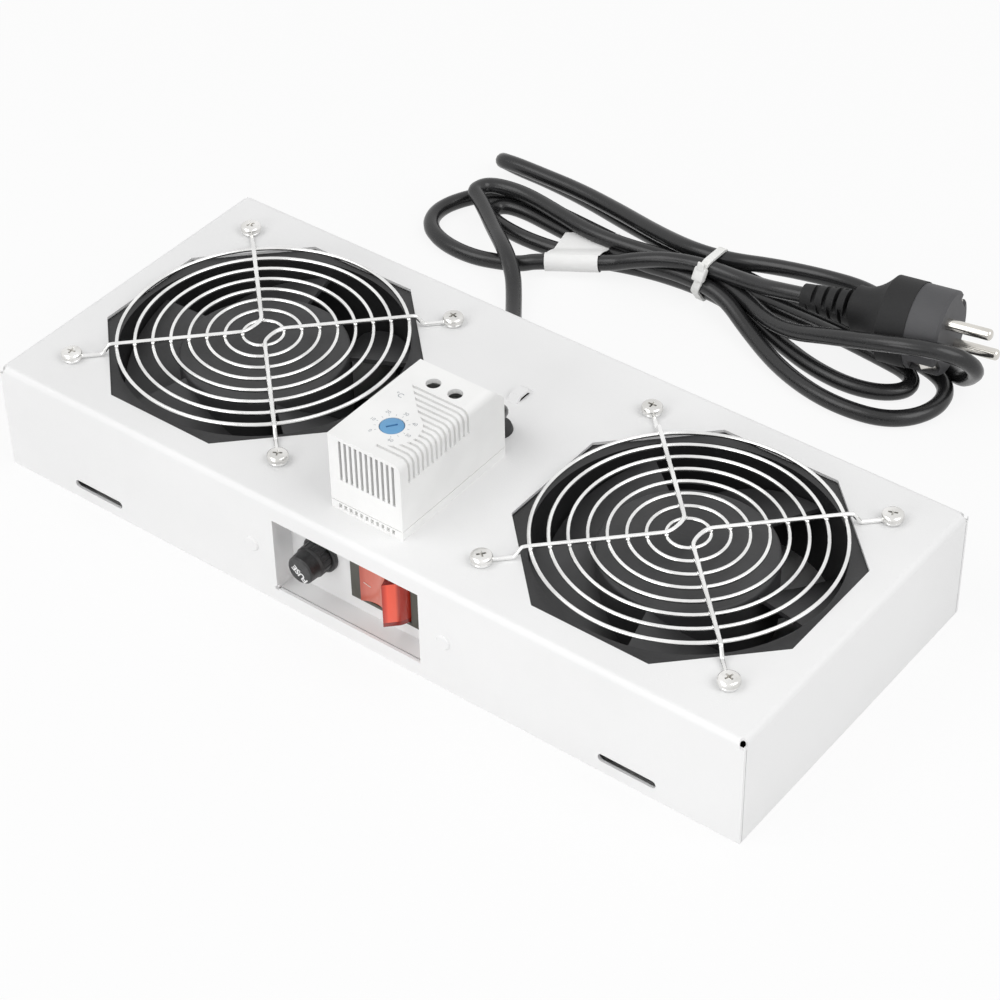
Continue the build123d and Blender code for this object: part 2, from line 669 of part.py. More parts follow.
def guard(x):
    """Concentric wire rings under two bent arm wires with an eyelet at each end."""
    ring_z = top + guard_height
    pieces = []
    for number in range(guard_rings):
        radius = guard_first_ring + number * guard_ring_pitch
        pieces.append(revolve(Plane.XZ * Pos(radius, ring_z) * wire_section(), Axis.Z))
    arm_z = ring_z + guard_wire + arm_wire - 0.15
    eye_z = top + guard_wire
    arm_low = top + arm_wire
    hole = fan_hole_pitch / 2
    outer_ring = guard_first_ring + (guard_rings - 1) * guard_ring_pitch
    bend = (outer_ring + 2.5) / math.sqrt(2)
    drop = bend + 2.8
    end = hole - eyelet_radius / math.sqrt(2)
    for side in (-1, 1):
        points = [(side * end, end, arm_low), (side * drop, drop, arm_low), (side * bend, bend, arm_z), (0, 0, arm_z),
                  (side * bend, -bend, arm_z), (side * drop, -drop, arm_low), (side * end, -end, arm_low)]
        path = FilletPolyline(*points, radius=[2.0, 2.0, arm_corner, 2.0, 2.0])
        section = Plane(origin=path @ 0, x_dir=(0, 0, 1), z_dir=path % 0) * Rectangle(2 * arm_wire, 2 * arm_wire)
        pieces.append(sweep(section, path=path))
        for end_side in (-1, 1):
            eye = revolve(Plane.XZ * Pos(eyelet_radius, eye_z) * wire_section(), Axis.Z)
            pieces.append(Pos(side * hole, end_side * hole, 0) * eye)
    whole = pieces[0]
    for piece in pieces[1:]:
        whole += piece
    return Pos(x, 0, 0) * whole


def guard_screws():
    head_z = top + 2 * max(guard_wire, arm_wire)
    profile = Polygon((0, head_z), (screw_head, head_z), (screw_head, head_z + 0.9),
                      (screw_head - 1.2, head_z + screw_head_height), (0, head_z + screw_head_height), align=None)
    screw = revolve(Plane.XZ * profile, Axis.Z)
    shank_low = under - fan_flange - 5.0
    screw += Pos(0, 0, shank_low) * Cylinder(screw_shank, head_z - shank_low, align=low)
    for turn in (0, 90):
        screw -= Pos(0, 0, head_z + screw_head_height - 1.3) * Rot(0, 0, turn) * Box(4.0, 1.0, 2, align=low)
    return Compound([Pos(x, 0, 0) * piece for x in fan_centres for piece in guard_grid(screw)])


def guard_nuts():
    nut_high = under - fan_flange
    nut = extrude(RegularPolygon(3.5, 6, major_radius=False) - Circle(screw_shank), 3.2)
    nut = Pos(0, 0, nut_high - 3.2) * nut
    return Compound([Pos(x, 0, 0) * piece for x in fan_centres for piece in guard_grid(nut)])


def terminal_block():
    """Four-pole block under the sheet with wire holes front and back and screws from below."""
    low_z = under - 15.0
    body = block(-20.0, 20.0, 44.0, 60.0, low_z, under)
    body = chamfer(body.edges().filter_by(Axis.X).group_by(Axis.Z)[0], 2.0)
    for x in (-15.0, -5.0, 5.0, 15.0):
        body -= rod((x, 43.0, low_z + 6.5), (x, 61.0, low_z + 6.5), 2.2)
        body -= Pos(x, 52.0, low_z - 1) * Cylinder(2.0, 7.5, align=low)
    for x in (-10.0, 0.0, 10.0):
        body -= block(x - 0.6, x + 0.6, 43.0, 61.0, low_z - 1, low_z + 3.0)
    return body


def earth_stud():
    return Pos(32.0, 50.0, under - 14.0) * Cylinder(2.0, 14.0, align=low)


def earth_nut():
    nut = extrude(RegularPolygon(3.5, 6, major_radius=False) - Circle(2.0), 3.2)
    washer = Pos(0, 0, 3.2) * extrude(Circle(4.5) - Circle(2.0), 0.8)
    return Pos(32.0, 50.0, under - 5.2) * (nut + washer)


def inner_leads():
    """Wires between the terminal block, the controls, the fans and the earth stud."""
    wire_z = under - 8.5
    wire = 1.3
    tab_y = panel_front + fuse_length
    runs = [
        [(-5.0, 43.6, wire_z), (-7.0, 32.0, wire_z - 6), (-17.0, 14.0, wire_z - 12), (-20.5, -4.0, fuse_z + 2),
         (fuse_x, -14.0, fuse_z), (fuse_x, tab_y + 8.4, fuse_z)],
        [(-15.0, 43.6, wire_z), (-19.0, 34.0, wire_z - 4), (-30.0, 27.0, wire_z - 9), (-39.4, 24.0, wire_z - 11)],
        [(15.0, 43.6, wire_z), (19.0, 34.0, wire_z - 4), (30.0, 27.0, wire_z - 9), (39.4, 24.0, wire_z - 11)],
    ]
    switch_y = panel_front + switch_depth + 8.4
    runs.append([(5.0, 43.6, wire_z), (4.0, 30.0, wire_z - 7), (5.0, 6.0, wire_z - 13), (9.0, -14.0, switch_z + 2),
                 (switch_x, -24.0, switch_z + 5.0), (switch_x, switch_y, switch_z + 5.0)])
    runs.append([(15.0, 60.4, wire_z), (19.0, 65.0, wire_z), (27.0, 65.5, wire_z - 1), (31.0, 60.0, wire_z),
                 (32.0, 54.9, under - 2.8)])
    return Compound([tube(points, wire) for points in runs])


def supply_lead():
    """The cord's inner end, from the bushing to the terminal block."""
    wire_z = under - 8.5
    points = [(bushing_x, back - 9.0, bushing_z), (bushing_x + 0.5, 58.0, bushing_z + 1.5),
              (-31.0, 52.5, 21.0), (-29.5, 51.5, 29.0), (-27.5, 51.8, 36.0), (-21.0, 52.0, wire_z - 0.6)]
    return tube(points, cord_radius, "supply lead")


def cord_bushing():
    """Round bushing snapped into the back skirt: its flange stands out behind it."""
    inner = -(sheet + 7.0)
    profile = Polygon((cord_radius + 0.05, inner), (bushing_neck - 0.9, inner), (bushing_neck + 0.8, -sheet - 0.9),
                      (bushing_neck + 0.8, -sheet - 0.05), (bushing_neck - 0.05, -sheet - 0.05),
                      (bushing_neck - 0.05, 0.05), (bushing_flange, 0.05), (bushing_flange, fuse_stand_out - 0.8),
                      (bushing_flange - 0.8, fuse_stand_out), (cord_radius + 0.05, fuse_stand_out), align=None)
    return Pos(bushing_x, back, bushing_z) * revolve(profile, Axis.Y)


def cord_sleeve():
    """Tapered ribbed sleeve on the cord behind the bushing."""
    start = fuse_stand_out
    end = start + sleeve_length
    taper = [(cord_radius + 4.0, start)]
    ribs = 6
    for number in range(ribs):
        y = start + 2.5 + number * 3.4
        outer = cord_radius + 4.0 - 2.6 * (y - start) / sleeve_length
        taper += [(outer, y), (outer - 0.9, y + 0.4), (outer - 0.9, y + 1.4), (outer - 0.3, y + 1.8)]
    taper += [(cord_radius + 1.2, end)]
    profile = Polygon((0, start), *taper, (0, end), align=None)
    return Pos(bushing_x, back, bushing_z) * revolve(profile, Axis.Y)


def cord_hank():
    """Outer shape of the folded cord: two lobes of lying strands, gathered at the tie."""
    layer = 2 * cord_radius + 0.1
    left_low = [(tie_x - 22, 178), (-66, 167), (-85, 152), (-97, 143), (-110, 140), (-126, 141), (-138, 149),
                (-142.5, 161), (-146, 208.5), (-100, 206), (-66, 200), (tie_x - 22, 187.5)]
    left_high = [(tie_x - 22, 179), (-60, 181.5), (-112, 189), (-142, 182), (-147.5, 208.5), (-100, 205),
                 (-46, 190.5), (tie_x - 22, 187)]
    right_low = [(tie_x + 20, 177), (36, 158), (56, 148), (75, 146), (92, 148.5), (103, 157), (106.5, 171),
                 (104, 189), (88, 197), (60, 214), (42, 220), (24, 214), (tie_x + 20, 187)]
    hank = outline(left_low, 0, layer, cord_radius)
    hank += outline(left_high, layer - 0.1, 2 * layer, cord_radius)
    hank += outline(right_low, 0, layer, cord_radius)
    ends = []
    for x, spread, high in ((tie_x - 38, 5.0, 2.2 * layer), (tie_x - 6, 0, bundle_high), (tie_x + 6, 0, bundle_high),
                            (tie_x + 34, 5.0, 2.0 * layer)):
        y_low = bundle_front - spread
        y_high = bundle_back + spread
        floor = bundle_low if spread == 0 else 0.0
        plane = Plane(origin=(x, (y_low + y_high) / 2, (floor + high) / 2), x_dir=(0, 1, 0), z_dir=(1, 0, 0))
        ends.append(plane * RectangleRounded(y_high - y_low, high - floor, 6.0))
    hank += loft(ends, ruled=True)
    hank += tube(label_strand_points, cord_radius, "label strand")
    hank += tube(over_plug_points, cord_radius, "strand over the plug")
    return hank


def cable_tie():
    """Toothed strap round the bundle with its head at the back."""
    gap = 0.3
    middle_y = (bundle_front + bundle_back) / 2
    middle_z = (bundle_low + bundle_high) / 2
    width = bundle_back - bundle_front + 2 * gap
    height = bundle_high - bundle_low + 2 * gap
    plane = Plane(origin=(tie_x - tie_width / 2, middle_y, middle_z), x_dir=(0, 1, 0), z_dir=(1, 0, 0))
    inner = RectangleRounded(width, height, 6.2)
    outer = RectangleRounded(width + 2 * tie_thick, height + 2 * tie_thick, 6.2 + tie_thick)
    strap = extrude(plane * (outer - inner), tie_width)
    head_y = middle_y + 2.0
    head_z = bundle_high + gap + tie_thick - 0.2
    head = block(tie_x - 3.9, tie_x + 3.9, head_y - 3.2, head_y + 3.2, head_z, head_z + 4.6)
    tail = block(tie_x - tie_width / 2, tie_x + tie_width / 2, head_y + 3.0, head_y + 7.0, head_z + 1.6, head_z + 2.8)
    return strap + fillet(head.edges().filter_by(Axis.Z), 0.8) + tail


def label_frame():
    start = Vector(*label_strand_points[2])
    way = Vector(*label_strand_points[3]) - start
    return Plane(origin=start + way * 0.2, x_dir=(0, 0, 1), z_dir=way), way.length


def cord_label():
    """Paper flag wrapped round the strand and stuck to itself."""
    plane, run = label_frame()
    length = 0.6 * run
    wrap = Circle(cord_radius + 0.75) - Circle(cord_radius + 0.45)
    flag = Pos(cord_radius + 11.65, 0) * Rectangle(22.3, 0.4)
    return plane * extrude(wrap + flag, length)


def plug_plane():
    return Plane(origin=plug_face, x_dir=plug_pin_line, z_dir=plug_axis)


def plug_body():
    """Moulded shell: round collar, concave flare and a flat grip."""
    body = Pos(0, 0, -plug_front_length) * Cylinder(plug_radius, plug_front_length - plug_insert_length, align=low)
    steps = ((plug_front_length + 3.5, 15.6, 13.6), (plug_neck_start, 14.2, 10.8), (plug_body_length, 13.0, 9.6))
    rings = [Pos(0, 0, -plug_front_length) * Circle(plug_radius)]
    rings += [Pos(0, 0, -off) * Ellipse(half_x, half_y) for off, half_x, half_y in steps]
    body += loft(rings)
    return plug_plane() * body


def plug_insert():
    """Contact insert with a groove on each side for the earth clips."""
    insert = Pos(0, 0, -plug_insert_length) * Cylinder(plug_radius - 0.4, plug_insert_length, align=low)
    insert = chamfer(insert.faces().sort_by(Axis.Z)[-1].edges(), 1.0)
    groove = Box(earth_groove, 5.0, plug_insert_length - 2.0, align=(Align.CENTER, Align.CENTER, Align.MAX))
    for side in (-1, 1):
        insert -= Pos(0, side * (plug_radius - 1.5), 0) * groove
    insert -= Pos(0, 8.5, -6.0) * Cylinder(2.6, 6.0, align=low)
    for side in (-1, 1):
        insert -= Pos(side * pin_spacing / 2, 0, -8.0) * Cylinder(pin_radius, 8.0, align=low)
    return plug_plane() * insert


def plug_pins():
    pin = Pos(0, 0, -8.0) * Cylinder(pin_radius, pin_length + 8.0, align=low)
    pin = fillet(pin.faces().sort_by(Axis.Z)[-1].edges(), 1.6)
    return plug_plane() * Compound([Pos(side * pin_spacing / 2, 0, 0) * pin for side in (-1, 1)])


def plug_clips():
    """Sprung earth strips in the grooves."""
    clips = []
    for side in (-1, 1):
        bed = plug_radius - 4.0
        strip = Polygon((bed + 0.05, 2.0 - plug_insert_length), (bed + 0.9, 2.0 - plug_insert_length),
                        (bed + 2.8, -plug_insert_length / 2), (bed + 1.4, -0.8), (bed + 0.05, -0.8), align=None)
        strip = extrude(Plane.YZ * strip, earth_groove / 2 - 0.6, both=True)
        clips.append(strip if side > 0 else Rot(0, 0, 180) * strip)
    return plug_plane() * Compound(clips)


def plug_relief():
    """Tapered strain relief with cross slots."""
    length = plug_relief_length
    start = -plug_body_length
    ends = []
    for off, half_x, half_y in ((0, 9.5, 7.6), (length, 5.4, 5.0)):
        ends.append(Pos(0, 0, start - off) * Ellipse(half_x, half_y))
    relief = loft(ends)
    for number in range(4):
        z = start - 3.0 - number * 5.0
        for side in (-1, 1):
            relief -= Pos(side * 7.5, 0, z) * Box(7.0, 20, 1.8)
            relief -= Pos(0, side * 7.0, z - 2.5) * Box(20, 5.0, 1.6)
    return plug_plane() * relief


def export(name, solid):
    export_step(solid, "parts/" + name + ".step")


os.makedirs("parts", exist_ok=True)
export("tray_body", tray_body())
export("control_bracket", control_bracket())
export("bracket_rivets", bracket_rivets())
export("fuse_holder_body", fuse_holder_body())
export("fuse_holder_nut", fuse_holder_nut())
export("fuse_tabs", fuse_tabs())
export("fuse_cap", fuse_cap())
export("fuse_carrier", fuse_carrier())
export("fuse_end_caps", fuse_end_caps())
export("fuse_glass", fuse_glass())
export("switch_frame", switch_frame())
export("switch_rocker", switch_rocker())
export("switch_tabs", switch_tabs())
export("thermostat_base", thermostat_base())
export("thermostat_cover", thermostat_cover())
export("thermostat_dial", thermostat_dial())
export("thermostat_block", thermostat_block())
export("thermostat_screws", thermostat_screws())
export("thermostat_lead", thermostat_lead())
export("lead_grommet", lead_grommet())
for side, centre, rest in (("left", fan_centres[0], left_rotor_turn), ("right", fan_centres[1], right_rotor_turn)):
    export("fan_frame_" + side, fan_frame(centre))
    export("fan_stator_" + side, fan_stator(centre))
    export("fan_bearings_" + side, fan_bearings(centre))
    export("fan_shaft_" + side, fan_shaft(centre))
    export("fan_rotor_" + side, fan_rotor(centre, rest))
    export("guard_" + side, guard(centre))
export("guard_screws", guard_screws())
export("guard_nuts", guard_nuts())
export("terminal_block", terminal_block())
export("earth_stud", earth_stud())
export("earth_nut", earth_nut())
export("inner_leads", inner_leads())
export("supply_lead", supply_lead())
export("cord_bushing", cord_bushing())
export("cord_sleeve", cord_sleeve())
export("cord_tube", tube(lead_points, cord_radius, "cord"))
export("cord_hank", cord_hank())
export("cable_tie", cable_tie())
export("cord_label", cord_label())
export("plug_body", plug_body())
export("plug_insert", plug_insert())
export("plug_pins", plug_pins())
export("plug_clips", plug_clips())
export("plug_relief", plug_relief())
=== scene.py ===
import math

import bpy
from mathutils import Matrix, Vector


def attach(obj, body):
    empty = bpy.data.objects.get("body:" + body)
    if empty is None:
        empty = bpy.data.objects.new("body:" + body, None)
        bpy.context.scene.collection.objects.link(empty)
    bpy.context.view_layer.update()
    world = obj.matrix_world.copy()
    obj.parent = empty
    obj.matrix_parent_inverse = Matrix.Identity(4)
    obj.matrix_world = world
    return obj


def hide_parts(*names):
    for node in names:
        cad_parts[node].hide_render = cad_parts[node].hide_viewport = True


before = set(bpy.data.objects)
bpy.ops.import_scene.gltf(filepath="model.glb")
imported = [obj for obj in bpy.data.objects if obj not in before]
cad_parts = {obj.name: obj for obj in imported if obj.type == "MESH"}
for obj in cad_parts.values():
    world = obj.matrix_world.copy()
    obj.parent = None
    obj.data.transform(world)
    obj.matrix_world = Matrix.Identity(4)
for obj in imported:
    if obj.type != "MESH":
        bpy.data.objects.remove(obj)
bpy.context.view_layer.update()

# The view: from the front right, a little over the tray, through a long lens. The camera aims a little past
# the tray's middle and leans by about a degree.
swing, lift, tilt = math.radians(38.1237), math.radians(40.3634), math.radians(-1.1892)
eye_range, aim_across, aim_above = 1.0864426, 0.0118686, 0.0127723
away = Vector((math.sin(swing) * math.cos(lift), -math.cos(swing) * math.cos(lift), math.sin(lift)))
across = Vector((math.cos(swing), math.sin(swing), 0))
above = away.cross(across)
eye = away * eye_range + across * aim_across + above * aim_above
turned_across = across * math.cos(tilt) + above * math.sin(tilt)
turned_above = above * math.cos(tilt) - across * math.sin(tilt)
bpy.ops.object.camera_add(location=eye)
camera = bpy.context.object
camera.rotation_euler = Matrix((turned_across, turned_above, away)).transposed().to_euler()
camera.data.sensor_width = 36
camera.data.lens = 102.1548
camera.data.clip_start = 0.05
bpy.context.scene.camera = camera


# Mains cord: round black PVC lead of 7 mm, nearly 2 m long. It leaves the bushing in the back skirt, lies
# behind the tray in a flat hank that is tied in the middle, and ends in the moulded plug.
def tone(red, green, blue):
    """A colour as the screen shows it, 0 to 255, turned into the light that the shaders mix."""
    return tuple(v / 255 / 12.92 if v < 11 else ((v / 255 + 0.055) / 1.055) ** 2.4 for v in (red, green, blue))


def finish(name, dark, light, gloss, grain, depth, metal=0.0, cloud=28.0, spread=0.05):
    """A finish between two near colours, with a fine grain in its gloss and its surface."""
    made = bpy.data.materials.new(name)
    made.use_nodes = True
    tree = made.node_tree
    shader = tree.nodes["Principled BSDF"]
    shader.inputs["Metallic"].default_value = metal
    place = tree.nodes.new("ShaderNodeTexCoord")
    drift = tree.nodes.new("ShaderNodeTexNoise")
    drift.inputs["Scale"].default_value = cloud
    drift.inputs["Detail"].default_value = 4
    colours = tree.nodes.new("ShaderNodeValToRGB")
    colours.color_ramp.elements[0].position = 0.35
    colours.color_ramp.elements[1].position = 0.65
    colours.color_ramp.elements[0].color = (*dark, 1)
    colours.color_ramp.elements[1].color = (*light, 1)
    fine = tree.nodes.new("ShaderNodeTexNoise")
    fine.inputs["Scale"].default_value = grain
    fine.inputs["Detail"].default_value = 2
    shine = tree.nodes.new("ShaderNodeMapRange")
    shine.inputs["To Min"].default_value = gloss - spread
    shine.inputs["To Max"].default_value = gloss + spread
    bump = tree.nodes.new("ShaderNodeBump")
    bump.inputs["Strength"].default_value = 0.5
    bump.inputs["Distance"].default_value = depth
    object_place, cloudy, grainy = place.outputs["Object"], drift.outputs["Fac"], fine.outputs["Fac"]
    for start, end in ((object_place, drift.inputs["Vector"]), (cloudy, colours.inputs["Fac"]),
                       (colours.outputs["Color"], shader.inputs["Base Color"]),
                       (object_place, fine.inputs["Vector"]), (grainy, shine.inputs["Value"]),
                       (shine.outputs["Result"], shader.inputs["Roughness"]), (grainy, bump.inputs["Height"]),
                       (bump.outputs["Normal"], shader.inputs["Normal"])):
        tree.links.new(start, end)
    return made


def dress(piece, made):
    """Gives a piece, or the frame's part of that name, its finish."""
    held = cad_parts[piece] if isinstance(piece, str) else piece
    held.data.materials.clear()
    held.data.materials.append(made)
    return held


def line_along(name, points, radius, made, body, stands_for):
    """A round lead or wire on one smooth line through its guide points."""
    curve = bpy.data.curves.new(name, "CURVE")
    curve.dimensions = "3D"
    spline = curve.splines.new("NURBS")
    spline.points.add(len(points) - 1)
    for point, place in zip(spline.points, points):
        point.co = (*place, 1)
    spline.order_u = 3
    spline.use_endpoint_u = True
    curve.resolution_u = 8
    curve.bevel_depth = radius
    curve.bevel_resolution = 5
    curve.use_fill_caps = True
    piece = bpy.data.objects.new(name, curve)
    bpy.context.scene.collection.objects.link(piece)
    dress(piece, made)
    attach(piece, body)
    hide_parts(*stands_for)
    return piece


cord_route = [
    # out of the bushing, through the sleeve
    (-0.035, 0.0753, 0.014), (-0.035, 0.088, 0.014), (-0.035, 0.0993, 0.014),
    # from the sleeve across the floor to the left fold
    (-0.037, 0.105, 0.0095), (-0.0445, 0.1068, 0.0048), (-0.0545, 0.1075, 0.0036), (-0.0635, 0.1115, 0.0036),
    (-0.0705, 0.121, 0.0037), (-0.077, 0.1298, 0.0053), (-0.082, 0.1358, 0.0082), (-0.089, 0.1413, 0.0116),
    (-0.097, 0.1473, 0.012), (-0.107, 0.155, 0.011), (-0.1165, 0.1625, 0.0109), (-0.1255, 0.169, 0.0111),
    # the left fold
    (-0.131, 0.172, 0.0114), (-0.1295, 0.1795, 0.011), (-0.121, 0.183, 0.0107),
    # back along the hank
    (-0.109, 0.1838, 0.0106), (-0.09, 0.1805, 0.0106), (-0.07, 0.1768, 0.0106), (-0.05, 0.1778, 0.011),
    (-0.03, 0.1815, 0.0112),
    # in front of the plug and down behind its pins
    (-0.008, 0.181, 0.0112), (0.008, 0.1765, 0.0112), (0.024, 0.169, 0.0108), (0.04, 0.164, 0.0145),
    (0.056, 0.1615, 0.0215), (0.074, 0.1606, 0.0275), (0.091, 0.162, 0.032), (0.104, 0.1665, 0.0325),
    (0.113, 0.173, 0.0285), (0.1165, 0.179, 0.0205), (0.112, 0.1845, 0.012), (0.1045, 0.189, 0.0042),
    # the loop at the back
    (0.088, 0.196, 0.0036), (0.072, 0.205, 0.0036), (0.057, 0.216, 0.0036), (0.041, 0.22, 0.0038),
    (0.024, 0.213, 0.007), (0.008, 0.2, 0.013), (-0.006, 0.188, 0.017),
    # back to the left end, upper strand
    (-0.022, 0.1848, 0.017), (-0.045, 0.19, 0.0135), (-0.07, 0.1968, 0.011), (-0.094, 0.2, 0.0107),
    (-0.116, 0.2, 0.0107), (-0.1285, 0.1998, 0.0108),
    # the fold at the back
    (-0.1365, 0.2002, 0.0098), (-0.1395, 0.2052, 0.0058), (-0.132, 0.2068, 0.0036),
    # lower strand
    (-0.116, 0.2068, 0.0036), (-0.093, 0.2047, 0.0036), (-0.067, 0.1997, 0.0038), (-0.042, 0.1928, 0.0073),
    (-0.02, 0.1886, 0.011), (-0.004, 0.1886, 0.011),
    # to the right end
    (0.014, 0.191, 0.007), (0.032, 0.193, 0.0038), (0.052, 0.1925, 0.0036), (0.074, 0.1903, 0.0036),
    (0.092, 0.1885, 0.0036),
    # the outer right loop
    (0.103, 0.182, 0.0036), (0.1065, 0.17, 0.0036), (0.102, 0.157, 0.0036), (0.091, 0.1485, 0.0036),
    (0.074, 0.146, 0.0036), (0.057, 0.148, 0.0036), (0.038, 0.1545, 0.0036), (0.018, 0.1645, 0.0055),
    (0, 0.173, 0.0105), (-0.02, 0.1746, 0.0112),
    # inner strand and its hairpin
    (-0.042, 0.1745, 0.008), (-0.068, 0.1765, 0.0042), (-0.092, 0.1795, 0.0036), (-0.11, 0.1815, 0.0036),
    (-0.1215, 0.1795, 0.0036), (-0.1225, 0.1705, 0.0036),
    # back to the right
    (-0.112, 0.166, 0.0036), (-0.092, 0.1645, 0.0036), (-0.066, 0.169, 0.0036), (-0.042, 0.1765, 0.004),
    (-0.02, 0.178, 0.0051), (-0.002, 0.1775, 0.0051),
    # the inner right loop
    (0.014, 0.174, 0.0038), (0.034, 0.1665, 0.0036), (0.052, 0.161, 0.0036), (0.07, 0.1595, 0.0036),
    (0.084, 0.1635, 0.0036), (0.0915, 0.172, 0.0036), (0.087, 0.181, 0.0036),
    # in to the tie along the floor
    (0.07, 0.1833, 0.0036), (0.048, 0.1855, 0.0036), (0.024, 0.1858, 0.0038), (0.004, 0.185, 0.0048),
    # round the left end along the floor
    (-0.02, 0.185, 0.0051), (-0.044, 0.1845, 0.0038), (-0.07, 0.1865, 0.0036), (-0.094, 0.1885, 0.0036),
    (-0.114, 0.1895, 0.0036), (-0.128, 0.1855, 0.0036), (-0.137, 0.175, 0.0036), (-0.142, 0.161, 0.0036),
    (-0.138, 0.1485, 0.0036), (-0.125, 0.1415, 0.0036), (-0.108, 0.1405, 0.0036),
    # the strand with the label, up to the plug
    (-0.094, 0.145, 0.0038), (-0.0865, 0.148, 0.0046), (-0.081, 0.1514, 0.0065), (-0.0535, 0.1664, 0.008),
    (-0.043, 0.1688, 0.0128), (-0.03, 0.173, 0.0166), (-0.014, 0.178, 0.0172), (0.003, 0.1782, 0.0176),
    (0.015, 0.177, 0.0196), (0.025, 0.1756, 0.0224), (0.0374, 0.1771, 0.02395),
]
lead_radius = 0.0035
pvc = finish("cord_pvc", tone(26, 26, 27), tone(38, 38, 39), 0.26, 420, 0.00008)
cord = line_along("mains_cord", cord_route, lead_radius, pvc, "tray",
                  ("cord_tube", "cord_hank"))

# Bushing and bend sleeve: black moulded pieces at the back skirt. The bushing snaps into its hole, and the
# ribbed sleeve keeps the cord from kinking where it comes out.
sleeve_rubber = finish("sleeve_rubber", tone(28, 28, 29), tone(40, 40, 41), 0.5, 900, 0.0001)
dress("cord_bushing", finish("bushing_nylon", tone(26, 26, 26), tone(36, 36, 36), 0.42, 700, 0.00008))
dress("cord_sleeve", sleeve_rubber)

# Cable tie: white nylon strap of 3.5 mm drawn tight round the seven strands in the middle of the hank. Its
# toothed end goes through the head on the front side and is cut off short.
tie_nylon = finish("tie_nylon", tone(234, 234, 231), tone(247, 247, 245), 0.4, 500, 0.00006)
tie_x, strap_half, strap_lean, strap_wall, round_strand = -0.012, 0.00175, 0.0012, 0.0011, 0.00355
outer_strands = ((0.178, 0.0172), (0.1863, 0.0171), (0.1886, 0.011),
                 (0.185, 0.005), (0.1778, 0.0051), (0.1739, 0.0109))
# The head and the cut end: place, lean in degrees, size and rounding.
tie_ends = (((-0.0113, 0.17165, 0.01725), -33, (0.0054, 0.0036, 0.0062), 0.0009),
            ((-0.011, 0.1719, 0.0212), -20, (0.0033, 0.0011, 0.0034), 0.0002))


def pick(*chosen):
    """Selects only the given pieces, with the first one active."""
    bpy.ops.object.select_all(action="DESELECT")
    for piece in chosen:
        piece.select_set(True)
    bpy.context.view_layer.objects.active = chosen[0]


def settle():
    """Puts the place of what is selected into its mesh."""
    bpy.ops.object.transform_apply(location=True, rotation=True, scale=True)


def joined(name, bits):
    """Joins the bits to one piece that sits at the origin."""
    pick(*bits)
    bpy.ops.object.join()
    whole = bpy.context.object
    whole.name = name
    settle()
    return whole


def round_edges(piece, width, steps, belongs=None, profile=0.5):
    """Rounds every edge of a piece, or those whose two ends both pass the test."""
    pick(piece)
    bpy.ops.object.mode_set(mode="EDIT")
    bpy.ops.mesh.select_mode(type="EDGE")
    bpy.ops.mesh.select_all(action="DESELECT")
    bpy.ops.object.mode_set(mode="OBJECT")
    for edge in piece.data.edges:
        ends = [piece.data.vertices[v].co for v in edge.vertices]
        edge.select = belongs is None or all(belongs(end) for end in ends)
    bpy.ops.object.mode_set(mode="EDIT")
    bpy.ops.mesh.bevel(offset=width, segments=steps, profile=profile, affect="EDGES")
    bpy.ops.object.mode_set(mode="OBJECT")


bpy.ops.object.select_all(action="DESELECT")
bpy.ops.mesh.primitive_cylinder_add(vertices=96, radius=1, depth=2, end_fill_type="NOTHING",
                                    rotation=(0, math.pi / 2, 0))
strap = bpy.context.object
settle()
for corner in strap.data.vertices:
    side_y, side_z = corner.co.y, corner.co.z
    strand_y, strand_z = max(outer_strands, key=lambda middle: middle[0] * side_y + middle[1] * side_z)
    corner.co.x = tie_x + strap_half * corner.co.x + strap_lean * side_z
    corner.co.y = strand_y + round_strand * side_y
    corner.co.z = strand_z + round_strand * side_z
thick = strap.modifiers.new("thickness", "SOLIDIFY")
thick.thickness = strap_wall
thick.offset = 1
bpy.ops.object.modifier_apply(modifier="thickness")
tie_bits = [strap]
for end_place, end_lean, end_size, end_round in tie_ends:
    bpy.ops.mesh.primitive_cube_add(size=1, location=end_place, rotation=(math.radians(end_lean), 0, 0),
                                    scale=end_size)
    tie_bits.append(bpy.context.object)
    settle()
    round_edges(tie_bits[-1], end_round, 3)
hank_tie = joined("hank_tie", tie_bits)
bpy.ops.object.shade_smooth_by_angle(angle=math.radians(35))
dress(hank_tie, tie_nylon)
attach(hank_tie, "tray")
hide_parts("cable_tie")

# Label: white paper wrapped round the strand in front, with its two ends stuck together as a flag that lies
# back over the strands behind. It is left blank.
paper = finish("label_paper", tone(248, 248, 247), tone(253, 253, 252), 0.6, 1600, 0.00005)
wrap_radius, paper_wall, flag_reach, flag_skew = 0.00405, 0.00025, 0.0215, 0.27
flag_start, flag_fall, fall_over, flag_wave, wave_over = 0.0041, 0.0036, 0.009, 0.0004, 0.023
strand_low, strand_high = Vector((-0.081, 0.1514, 0.0065)), Vector((-0.0535, 0.1664, 0.008))
strand_middle = (strand_low + strand_high) / 2
wrap_start, wrap_end = Vector((-0.0778, 0.15305, 0.00647)), Vector((-0.0571, 0.16405, 0.00817))
wrap_line = (wrap_start, strand_middle.lerp(strand_low, 0.5), strand_middle.lerp(strand_high, 0.5), wrap_end)
label_wrap = line_along("label_wrap", wrap_line, wrap_radius, paper, "tray", ("cord_label",))
label_wrap.data.use_fill_caps = False
label_wrap.data.bevel_resolution = 10
pick(label_wrap)
bpy.ops.object.convert(target="MESH")
bpy.ops.object.select_all(action="DESELECT")
bpy.ops.mesh.primitive_grid_add(x_subdivisions=14, y_subdivisions=18, size=1)
label_flag = bpy.context.object
label_flag.name = "label_flag"
along = (strand_high - strand_low).normalized()
away_back = Vector((-along.y, along.x, 0)).normalized()
